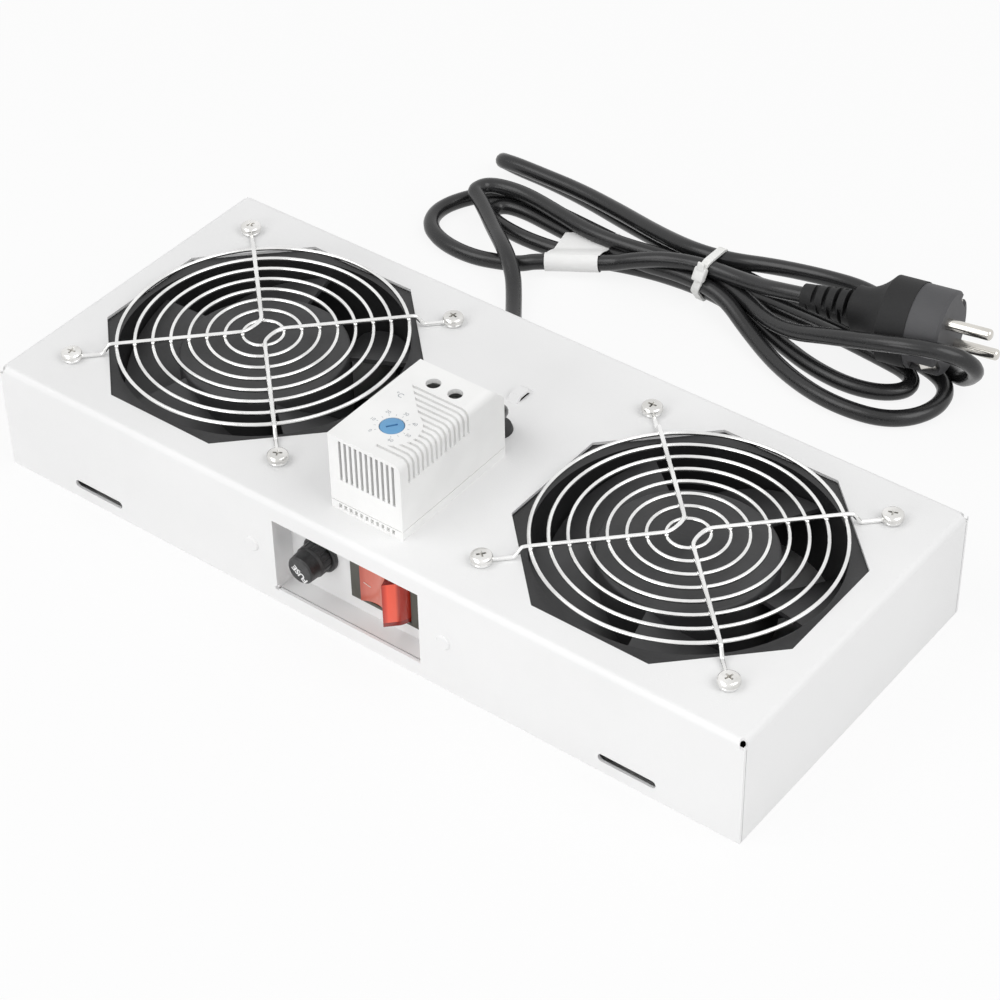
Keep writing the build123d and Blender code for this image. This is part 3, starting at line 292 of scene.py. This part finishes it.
for corner in label_flag.data.vertices:
    place = corner.co.x + 0.5
    reach = (corner.co.y + 0.5) * flag_reach
    rise = flag_start - flag_fall * min(1, reach / fall_over) ** 1.5
    rise += flag_wave * math.sin(place * 3.1) * reach / wave_over
    spot = wrap_start.lerp(wrap_end, place) + away_back * reach + along * reach * flag_skew
    corner.co = spot + Vector((0, 0, rise))
label_flag.data.update()
thick = label_flag.modifiers.new("thickness", "SOLIDIFY")
thick.thickness = paper_wall
bpy.ops.object.modifier_apply(modifier="thickness")
bpy.ops.object.shade_smooth_by_angle(angle=math.radians(35))
dress(label_flag, paper)
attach(label_flag, "tray")
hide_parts("cord_label")

# Earthed plug: matt black body moulded on the lead with its ribbed relief, a greyer contact insert, and
# nickel pins and sprung earth strips. The plug and the pieces tied to the lead are gathered in one list.
plug_black = finish("plug_black", tone(12, 12, 13), tone(20, 20, 21), 0.7, 1100, 0.0001)
plug_grey = finish("plug_face_grey", tone(62, 62, 64), tone(76, 76, 78), 0.6, 1100, 0.0001)
nickel = finish("pin_nickel", tone(206, 203, 197), tone(232, 229, 223), 0.2, 300, 0.00002,
                metal=1.0, spread=0.08)
dress("plug_body", plug_black)
dress("plug_relief", plug_black)
dress("plug_insert", plug_grey)
dress("plug_pins", nickel)
dress("plug_clips", nickel)
pieces_on_cord = [hank_tie, label_wrap, label_flag]
pieces_on_cord += [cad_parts["plug_" + bit] for bit in ("body", "insert", "pins", "clips", "relief")]

# The room: a white table that keeps soft shadows, two broad lamps from the left and the right, a low one that
# lights the control panel, and a white sky.
table_glow_share, sky_strength = 0.88, 0.56
rim_half_length, rim_half_depth = 0.1715, 0.0722
# Each lamp's place, size and watts.
lamps = (((-0.7, -0.9, 1.5), 1.1, 8.0), ((1.2, 0.1, 1.3), 1.2, 10.0), ((-0.1, -1.4, 0.35), 0.8, 5.0))
bpy.ops.object.select_all(action="DESELECT")
bpy.ops.mesh.primitive_plane_add(size=9.0, location=(0, 0, 0))
table_top = bpy.context.object
table_top.name = "table_top"


def worked_out(tree, kind, first, second=None):
    """What a Math node makes of one or two values, each a number or another node's output."""
    node = tree.nodes.new("ShaderNodeMath")
    node.operation = kind
    for socket, value in zip(node.inputs, (first, second)):
        if isinstance(value, bpy.types.NodeSocket):
            tree.links.new(value, socket)
        elif value is not None:
            socket.default_value = value
    return node.outputs[0]


def seen_rays(tree):
    """1 for the camera, a mirror or clear plastic, and 0 for light that falls on things."""
    rays = tree.nodes.new("ShaderNodeLightPath").outputs
    direct = worked_out(tree, "MAXIMUM", rays["Is Camera Ray"], rays["Is Glossy Ray"])
    return worked_out(tree, "MAXIMUM", direct, rays["Is Transmission Ray"])


def shown_as(tree, share, lit, seen, surface):
    """Leads to the surface what light falls on, with its share of what is seen."""
    mix = tree.nodes.new("ShaderNodeMixShader")
    for start, end in zip((share, lit, seen), mix.inputs):
        tree.links.new(start, end)
    tree.links.new(mix.outputs[0], surface)


table_white = bpy.data.materials.new("table_white")
table_white.use_nodes = True
table_tree = table_white.node_tree
table_shader = table_tree.nodes["Principled BSDF"]
table_shader.inputs["Base Color"].default_value = (0.82, 0.82, 0.82, 1)
table_shader.inputs["Roughness"].default_value = 0.9
table_glow = table_tree.nodes.new("ShaderNodeEmission")
table_glow.inputs["Strength"].default_value = 1.0
# The glow stops at the tray's rim, so the table under the tray stays dark.
table_parts = table_tree.nodes.new("ShaderNodeSeparateXYZ")
table_tree.links.new(table_tree.nodes.new("ShaderNodeTexCoord").outputs["Object"], table_parts.inputs[0])
past_rim = []
for axis, half_tray in (("X", rim_half_length), ("Y", rim_half_depth)):
    from_middle = worked_out(table_tree, "ABSOLUTE", table_parts.outputs[axis])
    past_rim.append(worked_out(table_tree, "GREATER_THAN", from_middle, half_tray))
glow = worked_out(table_tree, "MULTIPLY", worked_out(table_tree, "MAXIMUM", *past_rim), table_glow_share)
shown_as(table_tree, worked_out(table_tree, "MULTIPLY", seen_rays(table_tree), glow), table_shader.outputs[0],
         table_glow.outputs[0], table_tree.nodes["Material Output"].inputs["Surface"])
table_top.data.materials.append(table_white)

sky = bpy.data.worlds.new("white_sky")
bpy.context.scene.world = sky
sky.use_nodes = True
sky_tree = sky.node_tree
sky_light = sky_tree.nodes["Background"]
sky_seen = sky_tree.nodes.new("ShaderNodeBackground")
for light, strength in ((sky_light, sky_strength), (sky_seen, 1.0)):
    light.inputs["Color"].default_value = (1, 1, 1, 1)
    light.inputs["Strength"].default_value = strength
shown_as(sky_tree, seen_rays(sky_tree), sky_light.outputs[0], sky_seen.outputs[0],
         sky_tree.nodes["World Output"].inputs["Surface"])

for lamp_place, lamp_size, lamp_power in lamps:
    bpy.ops.object.light_add(type="AREA", location=lamp_place)
    lamp = bpy.context.object
    lamp.data.size = lamp_size
    lamp.data.energy = lamp_power
    lamp.rotation_euler = Vector(lamp_place).to_track_quat("Z", "Y").to_euler()

bpy.context.scene.view_settings.view_transform = "Standard"

# Tray: one folded sheet of 1.2 mm steel with a satin grey-white powder coat, and the recessed control panel
# in the same coat, held behind the front skirt by two flush rivets that the coat covers.
powder = finish("powder_coat", tone(234, 234, 234), tone(241, 241, 241), 0.42, 1500, 0.0001,
                cloud=9.0, spread=0.04)
for name in ("tray_body", "control_bracket", "bracket_rivets"):
    dress(name, powder)

# Fans: two square axial fans of 120 mm under the sheet. The frame with its duct and motor cup is die-cast and
# coated black, the hub and its five blades are dark grey plastic, and they turn on a steel shaft in two
# bearings.
fan_coat = finish("fan_black_coat", tone(30, 30, 31), tone(46, 46, 47), 0.45, 900, 0.00012)
blade_grey = finish("blade_grey", tone(52, 52, 53), tone(68, 68, 69), 0.5, 700, 0.0001)
core_steel = finish("core_steel", tone(110, 110, 112), tone(140, 140, 142), 0.5, 1200, 0.00005, metal=1.0)
ground_steel = finish("ground_steel", tone(170, 170, 172), tone(205, 205, 206), 0.25, 1500, 0.00002, metal=1.0)
for side in ("left", "right"):
    dress("fan_frame_" + side, fan_coat)
    dress("fan_rotor_" + side, blade_grey)
    dress("fan_stator_" + side, core_steel)
    dress("fan_shaft_" + side, ground_steel)
    dress("fan_bearings_" + side, ground_steel)

# Finger guards: eight rings of 1.6 mm steel wire, spot welded under two arm wires that each turn a corner
# inside the first ring. Each arm steps down at its ends into an eyelet under a screw. The wire is bright
# nickel.
guard_nickel = finish("guard_nickel", tone(224, 224, 223), tone(246, 246, 245), 0.16, 260, 0.00002,
                      metal=1.0, cloud=60.0)
fan_offset, hole_half, sheet_top = 0.09975, 0.0524, 0.048
ring_wire, arm_wire, weld_sink, weld_radius = 0.0008, 0.00088, 0.0002, 0.00105
first_ring, ring_pitch, rings, guard_rise = 0.008, 0.00695, 8, 0.0037
eye_radius = 0.0031
ring_level = sheet_top + guard_rise
arm_level = ring_level + ring_wire + arm_wire - weld_sink
eye_level = sheet_top + ring_wire
outer_ring = first_ring + (rings - 1) * ring_pitch
arm_bend = (outer_ring + 0.0025) / math.sqrt(2)
arm_foot = arm_bend + 0.0028
arm_end = hole_half - eye_radius / math.sqrt(2)
corner_reach, corner_across, corner_half = 0.0078, 0.0045, 0.0042


def guard_arm(middle, way):
    """One arm wire, as a mesh: from the back eyelet in, round the corner and out to the front one."""
    foot_level = sheet_top + arm_wire
    levels = ((arm_end, foot_level), (arm_foot + 0.0012, foot_level), (arm_foot, foot_level),
              (arm_foot - 0.0006, foot_level + 0.0003), (arm_bend + 0.0006, arm_level - 0.0006),
              (arm_bend, arm_level), (arm_bend - 0.003, arm_level), (corner_reach, arm_level))
    corner_x = middle + way * corner_across
    points = [(middle + way * reach, reach, level) for reach, level in levels]
    points += [(corner_x, corner_half, arm_level), (corner_x, -corner_half, arm_level)]
    points += [(middle + way * reach, -reach, level) for reach, level in reversed(levels)]
    arm = line_along("arm", points, arm_wire, guard_nickel, "tray", ())
    arm.parent = None
    pick(arm)
    bpy.ops.object.convert(target="MESH")
    return bpy.context.object


def make_guard(side, middle):
    """Rings, arms, eyelets and weld spots joined to one guard."""
    bits = [guard_arm(middle, 1), guard_arm(middle, -1)]
    for number in range(rings):
        ring = first_ring + number * ring_pitch
        bpy.ops.mesh.primitive_torus_add(location=(middle, 0, ring_level), major_radius=ring,
                                         minor_radius=ring_wire, major_segments=48 + number * 8,
                                         minor_segments=10)
        bits.append(bpy.context.object)
        for quarter in range(4):
            angle = math.radians(45 + 90 * quarter)
            weld = (middle + ring * math.cos(angle), ring * math.sin(angle), (ring_level + arm_level) / 2)
            bpy.ops.mesh.primitive_uv_sphere_add(segments=10, ring_count=6, radius=weld_radius, location=weld,
                                                 rotation=(0, 0, angle), scale=(1, 1.25, 0.62))
            bits.append(bpy.context.object)
    for x in (-hole_half, hole_half):
        for y in (-hole_half, hole_half):
            bpy.ops.mesh.primitive_torus_add(location=(middle + x, y, eye_level), major_radius=eye_radius,
                                             minor_radius=ring_wire, major_segments=40, minor_segments=10)
            bits.append(bpy.context.object)
    guard = joined("wire_guard_" + side, bits)
    bpy.ops.object.shade_smooth()
    dress(guard, guard_nickel)
    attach(guard, "tray")
    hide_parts("guard_" + side)


make_guard("left", -fan_offset)
make_guard("right", fan_offset)

# Guard screws: M4 pan-head screws with a cross recess, nickel plated, turned down on the eyelets. Their
# hexagon nuts sit under the fan flanges.
head_radius, head_rise, head_dome = 0.0042, 0.0023, 0.0016
recess_long, recess_wide, recess_deep, recess_taper = 0.0046, 0.00105, 0.0024, 0.45
shank_radius, shank_foot = 0.00195, 0.0373
head_level = sheet_top + 2 * arm_wire
head_top = head_level + head_rise


def cut_with(piece, tool, way="DIFFERENCE"):
    """Cuts the tool out of the piece, or joins it on, and takes the tool away."""
    change = piece.modifiers.new("cut", "BOOLEAN")
    change.operation = way
    change.object = tool
    bpy.context.view_layer.objects.active = piece
    bpy.ops.object.modifier_apply(modifier="cut")
    bpy.data.objects.remove(tool)


def recess_tool():
    """The driver's cross, as a solid to cut with."""
    arms = []
    for turn in (0, math.pi / 2):
        bpy.ops.mesh.primitive_cube_add(size=1, location=(0, 0, head_top - 0.0003), rotation=(0, 0, turn),
                                        scale=(recess_long, recess_wide, recess_deep))
        arms.append(bpy.context.object)
        settle()
        for corner in arms[-1].data.vertices:
            if corner.co.z < head_top - 0.001:
                corner.co.x *= recess_taper
                corner.co.y *= recess_taper
    cut_with(arms[0], arms[1], "UNION")
    return arms[0]


def pan_head():
    """One screw: domed head with its cross, and the shank through the sheet and the flange."""
    bpy.ops.mesh.primitive_cylinder_add(vertices=48, radius=head_radius, depth=head_rise,
                                        location=(0, 0, head_level + head_rise / 2))
    head = bpy.context.object
    settle()
    round_edges(head, head_dome, 6, lambda end: end.z > head_top - 1e-5, 0.55)
    cut_with(head, recess_tool())
    bpy.ops.mesh.primitive_cylinder_add(vertices=24, radius=shank_radius, depth=head_level - shank_foot,
                                        location=(0, 0, (head_level + shank_foot) / 2))
    settle()
    screw = joined("guard_screw", (head, bpy.context.object))
    bpy.ops.object.shade_smooth_by_angle(angle=math.radians(35))
    return screw


first_screw = pan_head()
screw_nickel = finish("screw_nickel", tone(212, 211, 208), tone(240, 239, 237), 0.2, 500, 0.00002,
                      metal=1.0, cloud=120.0)
screw_places = [(middle + x, y) for middle in (-fan_offset, fan_offset) for x in (-hole_half, hole_half)
                for y in (-hole_half, hole_half)]
screws = []
for (x, y), turn in zip(screw_places, (12, 64, 31, 80, 50, 5, 73, 22)):
    pick(first_screw)
    bpy.ops.object.duplicate()
    screw = bpy.context.object
    screw.location = (x, y, 0)
    screw.rotation_euler = (0, 0, math.radians(turn))
    screws.append(screw)
bpy.data.objects.remove(first_screw)
screw_set = joined("guard_screw_set", screws)
dress(screw_set, screw_nickel)
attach(screw_set, "tray")
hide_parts("guard_screws")
dress("guard_nuts", screw_nickel)

# Thermostat: moulded white-grey housing with grooves and slots on its foot plate, a blue dial in its scale,
# and two clamp screws in wells. Its black lead goes down through a grommet.
housing = finish("thermostat_housing", tone(238, 238, 237), tone(247, 247, 246), 0.45, 1300, 0.00008)
dress("thermostat_cover", housing)
dress("thermostat_base", housing)
inner_plastic = finish("thermostat_inner", tone(205, 205, 200), tone(220, 220, 215), 0.5, 900, 0.00006)
dress("thermostat_block", inner_plastic)
dress("thermostat_screws", screw_nickel)
dress("lead_grommet", sleeve_rubber)
housing_top = 0.082
dial_x, dial_y, dial_radius, dial_wall, dial_round = 0.0012, -0.0435, 0.0045, 0.0026, 0.0004
field_left, field_front, field_radius, field_proud, field_deep = -0.01504, -0.06004, 0.011, 0.00004, 0.0013
dial_hole, spindle_radius, spindle_long, spindle_middle = 0.00475, 0.0026, 0.0118, 0.0741


def flat_blank(name, points, low, high):
    """A plate with the given outline, standing from low to high."""
    bpy.ops.object.select_all(action="DESELECT")
    bpy.ops.mesh.primitive_circle_add(vertices=len(points), fill_type="NGON")
    blank = bpy.context.object
    blank.name = name
    for corner, (x, y) in zip(blank.data.vertices, points):
        corner.co = (x, y, low)
    bpy.ops.object.mode_set(mode="EDIT")
    bpy.ops.mesh.select_all(action="SELECT")
    bpy.ops.mesh.extrude_region_move(TRANSFORM_OT_translate={"value": (0, 0, high - low)})
    bpy.ops.mesh.select_all(action="SELECT")
    bpy.ops.mesh.normals_make_consistent(inside=False)
    bpy.ops.object.mode_set(mode="OBJECT")
    return blank


def arc_points(middle, radius, first, turn, count):
    """Points along an arc, from the first angle on by equal turns, in degrees."""
    angles = [math.radians(first + step * turn) for step in range(count)]
    return [(middle[0] + radius * math.cos(angle), middle[1] + radius * math.sin(angle)) for angle in angles]


field_points = [(field_left, -0.012), (-0.0102, -0.0184)]
field_points += arc_points((dial_x, dial_y), field_radius, 68.8, -4.0, 38)
field_points += [(0.0045, field_front), (field_left, field_front)]
cover_field = flat_blank("cover_field", field_points, housing_top - field_deep, housing_top + field_proud)
bpy.ops.mesh.primitive_cylinder_add(vertices=64, radius=dial_hole, depth=0.004,
                                    location=(dial_x, dial_y, housing_top))
cut_with(cover_field, bpy.context.object)
dress(cover_field, housing)
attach(cover_field, "tray")

bpy.ops.object.select_all(action="DESELECT")
bpy.ops.mesh.primitive_cylinder_add(vertices=64, radius=dial_radius, depth=dial_wall,
                                    location=(dial_x, dial_y, housing_top - 0.0011))
set_dial = bpy.context.object
set_dial.name = "set_dial"
settle()
round_edges(set_dial, dial_round, 3, lambda end: end.z > housing_top)
bpy.ops.mesh.primitive_cube_add(size=1, location=(dial_x, dial_y, housing_top),
                                rotation=(0, 0, math.radians(54)), scale=(0.0044, 0.0009, 0.0014))
cut_with(set_dial, bpy.context.object)
bpy.ops.mesh.primitive_cylinder_add(vertices=32, radius=spindle_radius, depth=spindle_long,
                                    location=(dial_x, dial_y, spindle_middle))
cut_with(set_dial, bpy.context.object, "UNION")
pick(set_dial)
bpy.ops.object.shade_smooth_by_angle(angle=math.radians(30))
dial_blue = finish("dial_blue", tone(92, 148, 194), tone(108, 164, 206), 0.42, 800, 0.00006)
dress(set_dial, dial_blue)
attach(set_dial, "dial")
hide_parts("thermostat_dial")

scale_ink = finish("scale_ink", tone(158, 162, 166), tone(172, 176, 180), 0.6, 900, 0.00001)
print_level = housing_top + 0.00006
scale_start, number_turn, number_reach, tick_reach = 235, -48.3, 0.0081, 0.0062


def printed(words, size, place, ink, turned=(0, 0, 0), bold=0.0):
    """A word or number printed on a face, as a thin mesh."""
    bpy.ops.object.select_all(action="DESELECT")
    bpy.ops.object.text_add(location=place, rotation=turned)
    mark = bpy.context.object
    mark.data.body = words
    mark.data.size = size
    mark.data.align_x = "CENTER"
    mark.data.align_y = "CENTER"
    mark.data.extrude = 0.00001
    mark.data.offset = bold
    bpy.ops.object.convert(target="MESH")
    settle()
    return dress(bpy.context.object, ink)


scale_marks = [printed(str(number * 10), 0.0021, (*middle, print_level), scale_ink) for number, middle in
               enumerate(arc_points((dial_x, dial_y), number_reach, scale_start, number_turn, 7))]
scale_marks.append(printed("°C", 0.0032, (-0.0079, -0.0282, print_level), scale_ink))
for number, middle in enumerate(arc_points((dial_x, dial_y), tick_reach, scale_start, number_turn / 2, 13)):
    bpy.ops.mesh.primitive_cube_add(size=1, location=(*middle, housing_top + 0.00005),
                                    rotation=(0, 0, math.radians(scale_start + number * number_turn / 2)),
                                    scale=(0.0008, 0.00018, 0.00002))
    scale_marks.append(bpy.context.object)
scale_print = joined("dial_scale", scale_marks)
dress(scale_print, scale_ink)
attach(scale_print, "tray")

thermostat_route = [(0.013, -0.0015, 0.064), (0.013, 0.0045, 0.0635), (0.0095, 0.008, 0.059),
                    (0.006, 0.01, 0.052), (0.006, 0.01, 0.0418), (0.008, 0.017, 0.0338),
                    (0.009, 0.0416, 0.0338)]
line_along("thermostat_cord", thermostat_route, 0.003, pvc, "tray", ("thermostat_lead",))

# Fuse holder: black moulded holder clamped in the panel by a ring nut. Its cap pulls out with a brass contact
# sleeve and the glass fuse, and its end carries the one word that says what it is.
# The holder's black is flecked with paler grey specks: painted glints of light on its stippled surface.
fuse_black_painted_glints = finish("fuse_black_painted_glints", tone(26, 26, 27), tone(54, 54, 55), 0.38, 1000, 0.0002, cloud=260.0)
brass = finish("tinned_brass", tone(190, 182, 160), tone(214, 208, 190), 0.3, 700, 0.00002, metal=1.0)
for name in ("fuse_holder_body", "fuse_holder_nut", "fuse_cap"):
    dress(name, fuse_black_painted_glints)
for name in ("fuse_tabs", "fuse_carrier", "fuse_end_caps"):
    dress(name, brass)
glass = finish("fuse_clear_glass", (0.93, 0.96, 0.96), (0.97, 0.99, 0.99), 0.06, 200, 0.000005, spread=0.02)
glass_shader = glass.node_tree.nodes["Principled BSDF"]
glass_shader.inputs["Transmission Weight"].default_value = 0.9
glass_shader.inputs["IOR"].default_value = 1.5
dress("fuse_glass", glass)
cap_ink = finish("cap_ink", tone(226, 226, 226), tone(240, 240, 240), 0.55, 900, 0.00001)
word_turn = math.radians(141)
cap_face = Matrix.Translation((-0.0194, -0.07531, 0.0248)) @ Matrix.Rotation(math.pi / 2, 4, "X")
word_spot = cap_face @ Matrix.Translation((0.0001, -0.0014, 0)) @ Matrix.Rotation(word_turn, 4, "Z")
cap_marks = [printed("FUSE", 0.0037, word_spot.to_translation(), cap_ink, word_spot.to_euler(), 0.00012)]
# A short curved stroke stands over the word.
stroke_reach, stroke_start, stroke_turn = 0.0006, 66, 6
for number in range(9):
    angle = word_turn + math.radians(stroke_start + number * stroke_turn)
    spot = cap_face @ Matrix.Rotation(angle, 4, "Z") @ Matrix.Translation((-stroke_reach, 0, 0))
    bpy.ops.mesh.primitive_cube_add(size=1, location=spot.to_translation(), rotation=spot.to_euler(),
                                    scale=(0.0003, 0.0003, 0.00002))
    cap_marks.append(bpy.context.object)
cap_word = joined("fuse_cap_word", cap_marks)
dress(cap_word, cap_ink)
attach(cap_word, "fuse_grip")

# Lit rocker switch: olive-black frame snapped into the panel, and a clear red rocker on two stubs in it that
# the lamp inside shines through.
frame_black = finish("switch_frame_black", tone(62, 62, 54), tone(76, 75, 66), 0.32, 800, 0.00006)
bezel_middle, well_middle, switch_height, panel_face, pivot_y = 0.0116, 0.0123, 0.025, -0.0625, -0.0615
bezel_size, bezel_round = (0.0332, 0.0018, 0.025), 0.0008
well_size, inside_size = (0.0249, 0.0201, 0.0234), (0.0229, 0.016, 0.021)
bpy.ops.object.select_all(action="DESELECT")
bpy.ops.mesh.primitive_cube_add(size=1, location=(bezel_middle, panel_face - 0.0009, switch_height),
                                scale=bezel_size)
switch_bezel = bpy.context.object
switch_bezel.name = "switch_bezel"
settle()
round_edges(switch_bezel, bezel_round, 3, lambda end: end.y < panel_face - 0.001)
bpy.ops.mesh.primitive_cube_add(size=1, location=(well_middle, panel_face + 0.00995, switch_height),
                                scale=well_size)
cut_with(switch_bezel, bpy.context.object, "UNION")
bpy.ops.mesh.primitive_cube_add(size=1, location=(well_middle, panel_face + 0.004, switch_height),
                                scale=inside_size)
cut_with(switch_bezel, bpy.context.object)
bpy.ops.mesh.primitive_cylinder_add(vertices=24, radius=0.00155, depth=0.0228,
                                    location=(well_middle, pivot_y, switch_height))
cut_with(switch_bezel, bpy.context.object)
pick(switch_bezel)
bpy.ops.object.shade_smooth_by_angle(angle=math.radians(30))
dress(switch_bezel, frame_black)
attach(switch_bezel, "tray")
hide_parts("switch_frame")
dress("switch_tabs", brass)
rocker_red = finish("rocker_red", tone(196, 60, 44), tone(226, 80, 60), 0.16, 500, 0.00003, spread=0.04)
rocker_tree = rocker_red.node_tree
rocker_shader = rocker_tree.nodes["Principled BSDF"]
rocker_parts = rocker_tree.nodes.new("ShaderNodeSeparateXYZ")
rocker_tree.links.new(rocker_tree.nodes["Texture Coordinate"].outputs["Object"], rocker_parts.inputs[0])
# Painted light on the one red plastic: the ramp across the rocker is pale on the pressed face and bright red on
# the raised end.
face_low, face_high, raised_from, painted_low_edge_level, painted_top_shade_level = 0.0007, 0.0227, 0.017, 0.0168, 0.03505
face_span = rocker_tree.nodes.new("ShaderNodeMapRange")
face_span.inputs["From Min"].default_value = face_low
face_span.inputs["From Max"].default_value = face_high
rocker_tree.links.new(rocker_parts.outputs["X"], face_span.inputs["Value"])
rocker_painted_light_ramp = rocker_tree.nodes.new("ShaderNodeValToRGB")
# Painted shade at the face's far end, a painted highlight along the ridge, a painted dark strip beside it, and
# painted shade at the rounded end.
rocker_painted_light_stops = ((0.03, (178, 84, 70)), (0.12, (198, 108, 92)), (0.5, (204, 112, 94)), (0.68, (226, 150, 126)),
                 (0.73, (232, 168, 144)), (0.745, (160, 46, 34)), (0.785, (214, 66, 46)), (0.81, (240, 88, 62)),
                 (0.9, (240, 92, 66)), (0.935, (170, 50, 36)))
while len(rocker_painted_light_ramp.color_ramp.elements) < len(rocker_painted_light_stops):
    rocker_painted_light_ramp.color_ramp.elements.new(0.5)
for stop, (where, shade) in zip(rocker_painted_light_ramp.color_ramp.elements, rocker_painted_light_stops):
    stop.position = where
for stop, (where, shade) in zip(rocker_painted_light_ramp.color_ramp.elements, rocker_painted_light_stops):
    stop.color = (*tone(*shade), 1)
rocker_tree.links.new(face_span.outputs["Result"], rocker_painted_light_ramp.inputs["Fac"])
# Painted shade: the top of the rocker and the low edge of its raised end turn dark red.
painted_top_shade = worked_out(rocker_tree, "GREATER_THAN", rocker_parts.outputs["Z"], painted_top_shade_level)
painted_low_edge_shade = worked_out(rocker_tree, "LESS_THAN", rocker_parts.outputs["Z"], painted_low_edge_level)
raised_end = worked_out(rocker_tree, "GREATER_THAN", rocker_parts.outputs["X"], raised_from)
painted_raised_low_shade = worked_out(rocker_tree, "MULTIPLY", painted_low_edge_shade, raised_end)
rocker_painted_shade_mix = rocker_tree.nodes.new("ShaderNodeMix")
rocker_painted_shade_mix.data_type = "RGBA"
rocker_painted_shade_mix.inputs["B"].default_value = (*tone(132, 30, 22), 1)
for start, end in ((worked_out(rocker_tree, "MAXIMUM", painted_top_shade, painted_raised_low_shade), rocker_painted_shade_mix.inputs["Factor"]),
                   (rocker_painted_light_ramp.outputs["Color"], rocker_painted_shade_mix.inputs["A"]),
                   (rocker_painted_shade_mix.outputs["Result"], rocker_shader.inputs["Base Color"]),
                   (rocker_painted_shade_mix.outputs["Result"], rocker_shader.inputs["Emission Color"])):
    rocker_tree.links.new(start, end)
# The weak glow stands for the lamp inside and also lifts the rocker out of the recess's shade. It glows in the
# painted highlight and shade.
rocker_shader.inputs["Emission Strength"].default_value = 0.12
rocker_shader.inputs["Coat Weight"].default_value = 0.3
# The rocker is drawn level on its pivot: two outer ends, and the hollow that a finger presses between them.
rocker_reach, rocker_half, hollow_middle, hollow_radius = 0.01115, 0.0102, -0.013525, 0.009925
end_arc = arc_points((0, 0), rocker_reach, 32, -4.58, 11)
hollow = arc_points((0, hollow_middle), hollow_radius, 31.7, 5.3, 23)
section = end_arc + hollow + [(-x, y) for x, y in reversed(end_arc)] + [(-0.005, 0.004), (0.005, 0.004)]
lit_rocker = flat_blank("lit_rocker", section, -rocker_half, rocker_half)
round_off = lit_rocker.modifiers.new("round", "BEVEL")
round_off.width = 0.00022
round_off.segments = 2
round_off.limit_method = "ANGLE"
round_off.angle_limit = math.radians(40)
bpy.ops.object.modifier_apply(modifier="round")
bpy.ops.mesh.primitive_cylinder_add(vertices=32, radius=0.0015, depth=0.0224)
cut_with(lit_rocker, bpy.context.object, "UNION")
pick(lit_rocker)
lit_rocker.location = (well_middle, pivot_y, switch_height)
lit_rocker.rotation_euler = (0, 0, math.radians(-22))
settle()
bpy.ops.object.shade_smooth_by_angle(angle=math.radians(30))
dress(lit_rocker, rocker_red)
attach(lit_rocker, "rocker")
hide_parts("switch_rocker")

bpy.ops.mesh.primitive_cube_add(size=1, location=(0.00384, -0.06476, 0.02304),
                                rotation=(0, math.radians(34), math.radians(20)),
                                scale=(0.0032, 0.0004, 0.00036))
on_mark = bpy.context.object
on_mark.name = "rocker_on_mark"
settle()
round_edges(on_mark, 0.00008, 2)
mark_white = finish("mark_white", tone(226, 206, 198), tone(240, 222, 214), 0.5, 900, 0.00001)
dress(on_mark, mark_white)
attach(on_mark, "rocker")

# Wiring under the sheet: a white terminal block, an earth stud with its nut, single leads to the fuse, the
# switch, the fans and earth, and the end of the mains cord.
dress("terminal_block", finish("terminal_white", tone(214, 213, 206), tone(228, 227, 221), 0.5, 900, 0.00006))
dress("earth_stud", ground_steel)
dress("earth_nut", screw_nickel)
lead_colours = {"brown": ((92, 52, 34), (112, 66, 44)), "blue": ((40, 84, 150), (56, 102, 170)),
                "black": ((26, 26, 27), (40, 40, 41)), "green": ((88, 140, 40), (196, 190, 40))}
lead_finish = {name: finish("lead_" + name, tone(*dark), tone(*light), 0.4, 900, 0.00005)
               for name, (dark, light) in lead_colours.items()}
wire_radius = 0.0013
inner_routes = (
    ("fuse_lead", "brown", [(-0.005, 0.0436, 0.0383), (-0.007, 0.032, 0.0323), (-0.017, 0.014, 0.0263),
                            (-0.0205, -0.004, 0.0268), (-0.0194, -0.014, 0.0248), (-0.0194, -0.0201, 0.0248)]),
    ("left_fan_lead", "black", [(-0.015, 0.0436, 0.0383), (-0.019, 0.034, 0.0343), (-0.03, 0.027, 0.0293),
                                (-0.0394, 0.024, 0.0273)]),
    ("right_fan_lead", "black", [(0.015, 0.0436, 0.0383), (0.019, 0.034, 0.0343), (0.03, 0.027, 0.0293),
                                 (0.0394, 0.024, 0.0273)]),
    ("switch_lead", "blue", [(0.005, 0.0436, 0.0383), (0.004, 0.03, 0.0313), (0.005, 0.006, 0.0253),
                             (0.009, -0.014, 0.027), (0.0123, -0.024, 0.03), (0.0123, -0.0341, 0.03)]),
    ("earth_lead", "green", [(0.015, 0.0604, 0.0383), (0.019, 0.065, 0.0383), (0.027, 0.0655, 0.0373),
                             (0.031, 0.06, 0.0383), (0.032, 0.0549, 0.044)]),
)
for name, colour, route in inner_routes:
    line_along(name, route, wire_radius, lead_finish[colour], "tray", ("inner_leads",))
line_along("mains_lead_end", [(-0.035, 0.0635, 0.014), (-0.0345, 0.058, 0.0155), (-0.031, 0.0525, 0.021),
                              (-0.0295, 0.0515, 0.029), (-0.0275, 0.0518, 0.036), (-0.021, 0.052, 0.0377)],
           lead_radius, pvc, "tray", ("supply_lead",))
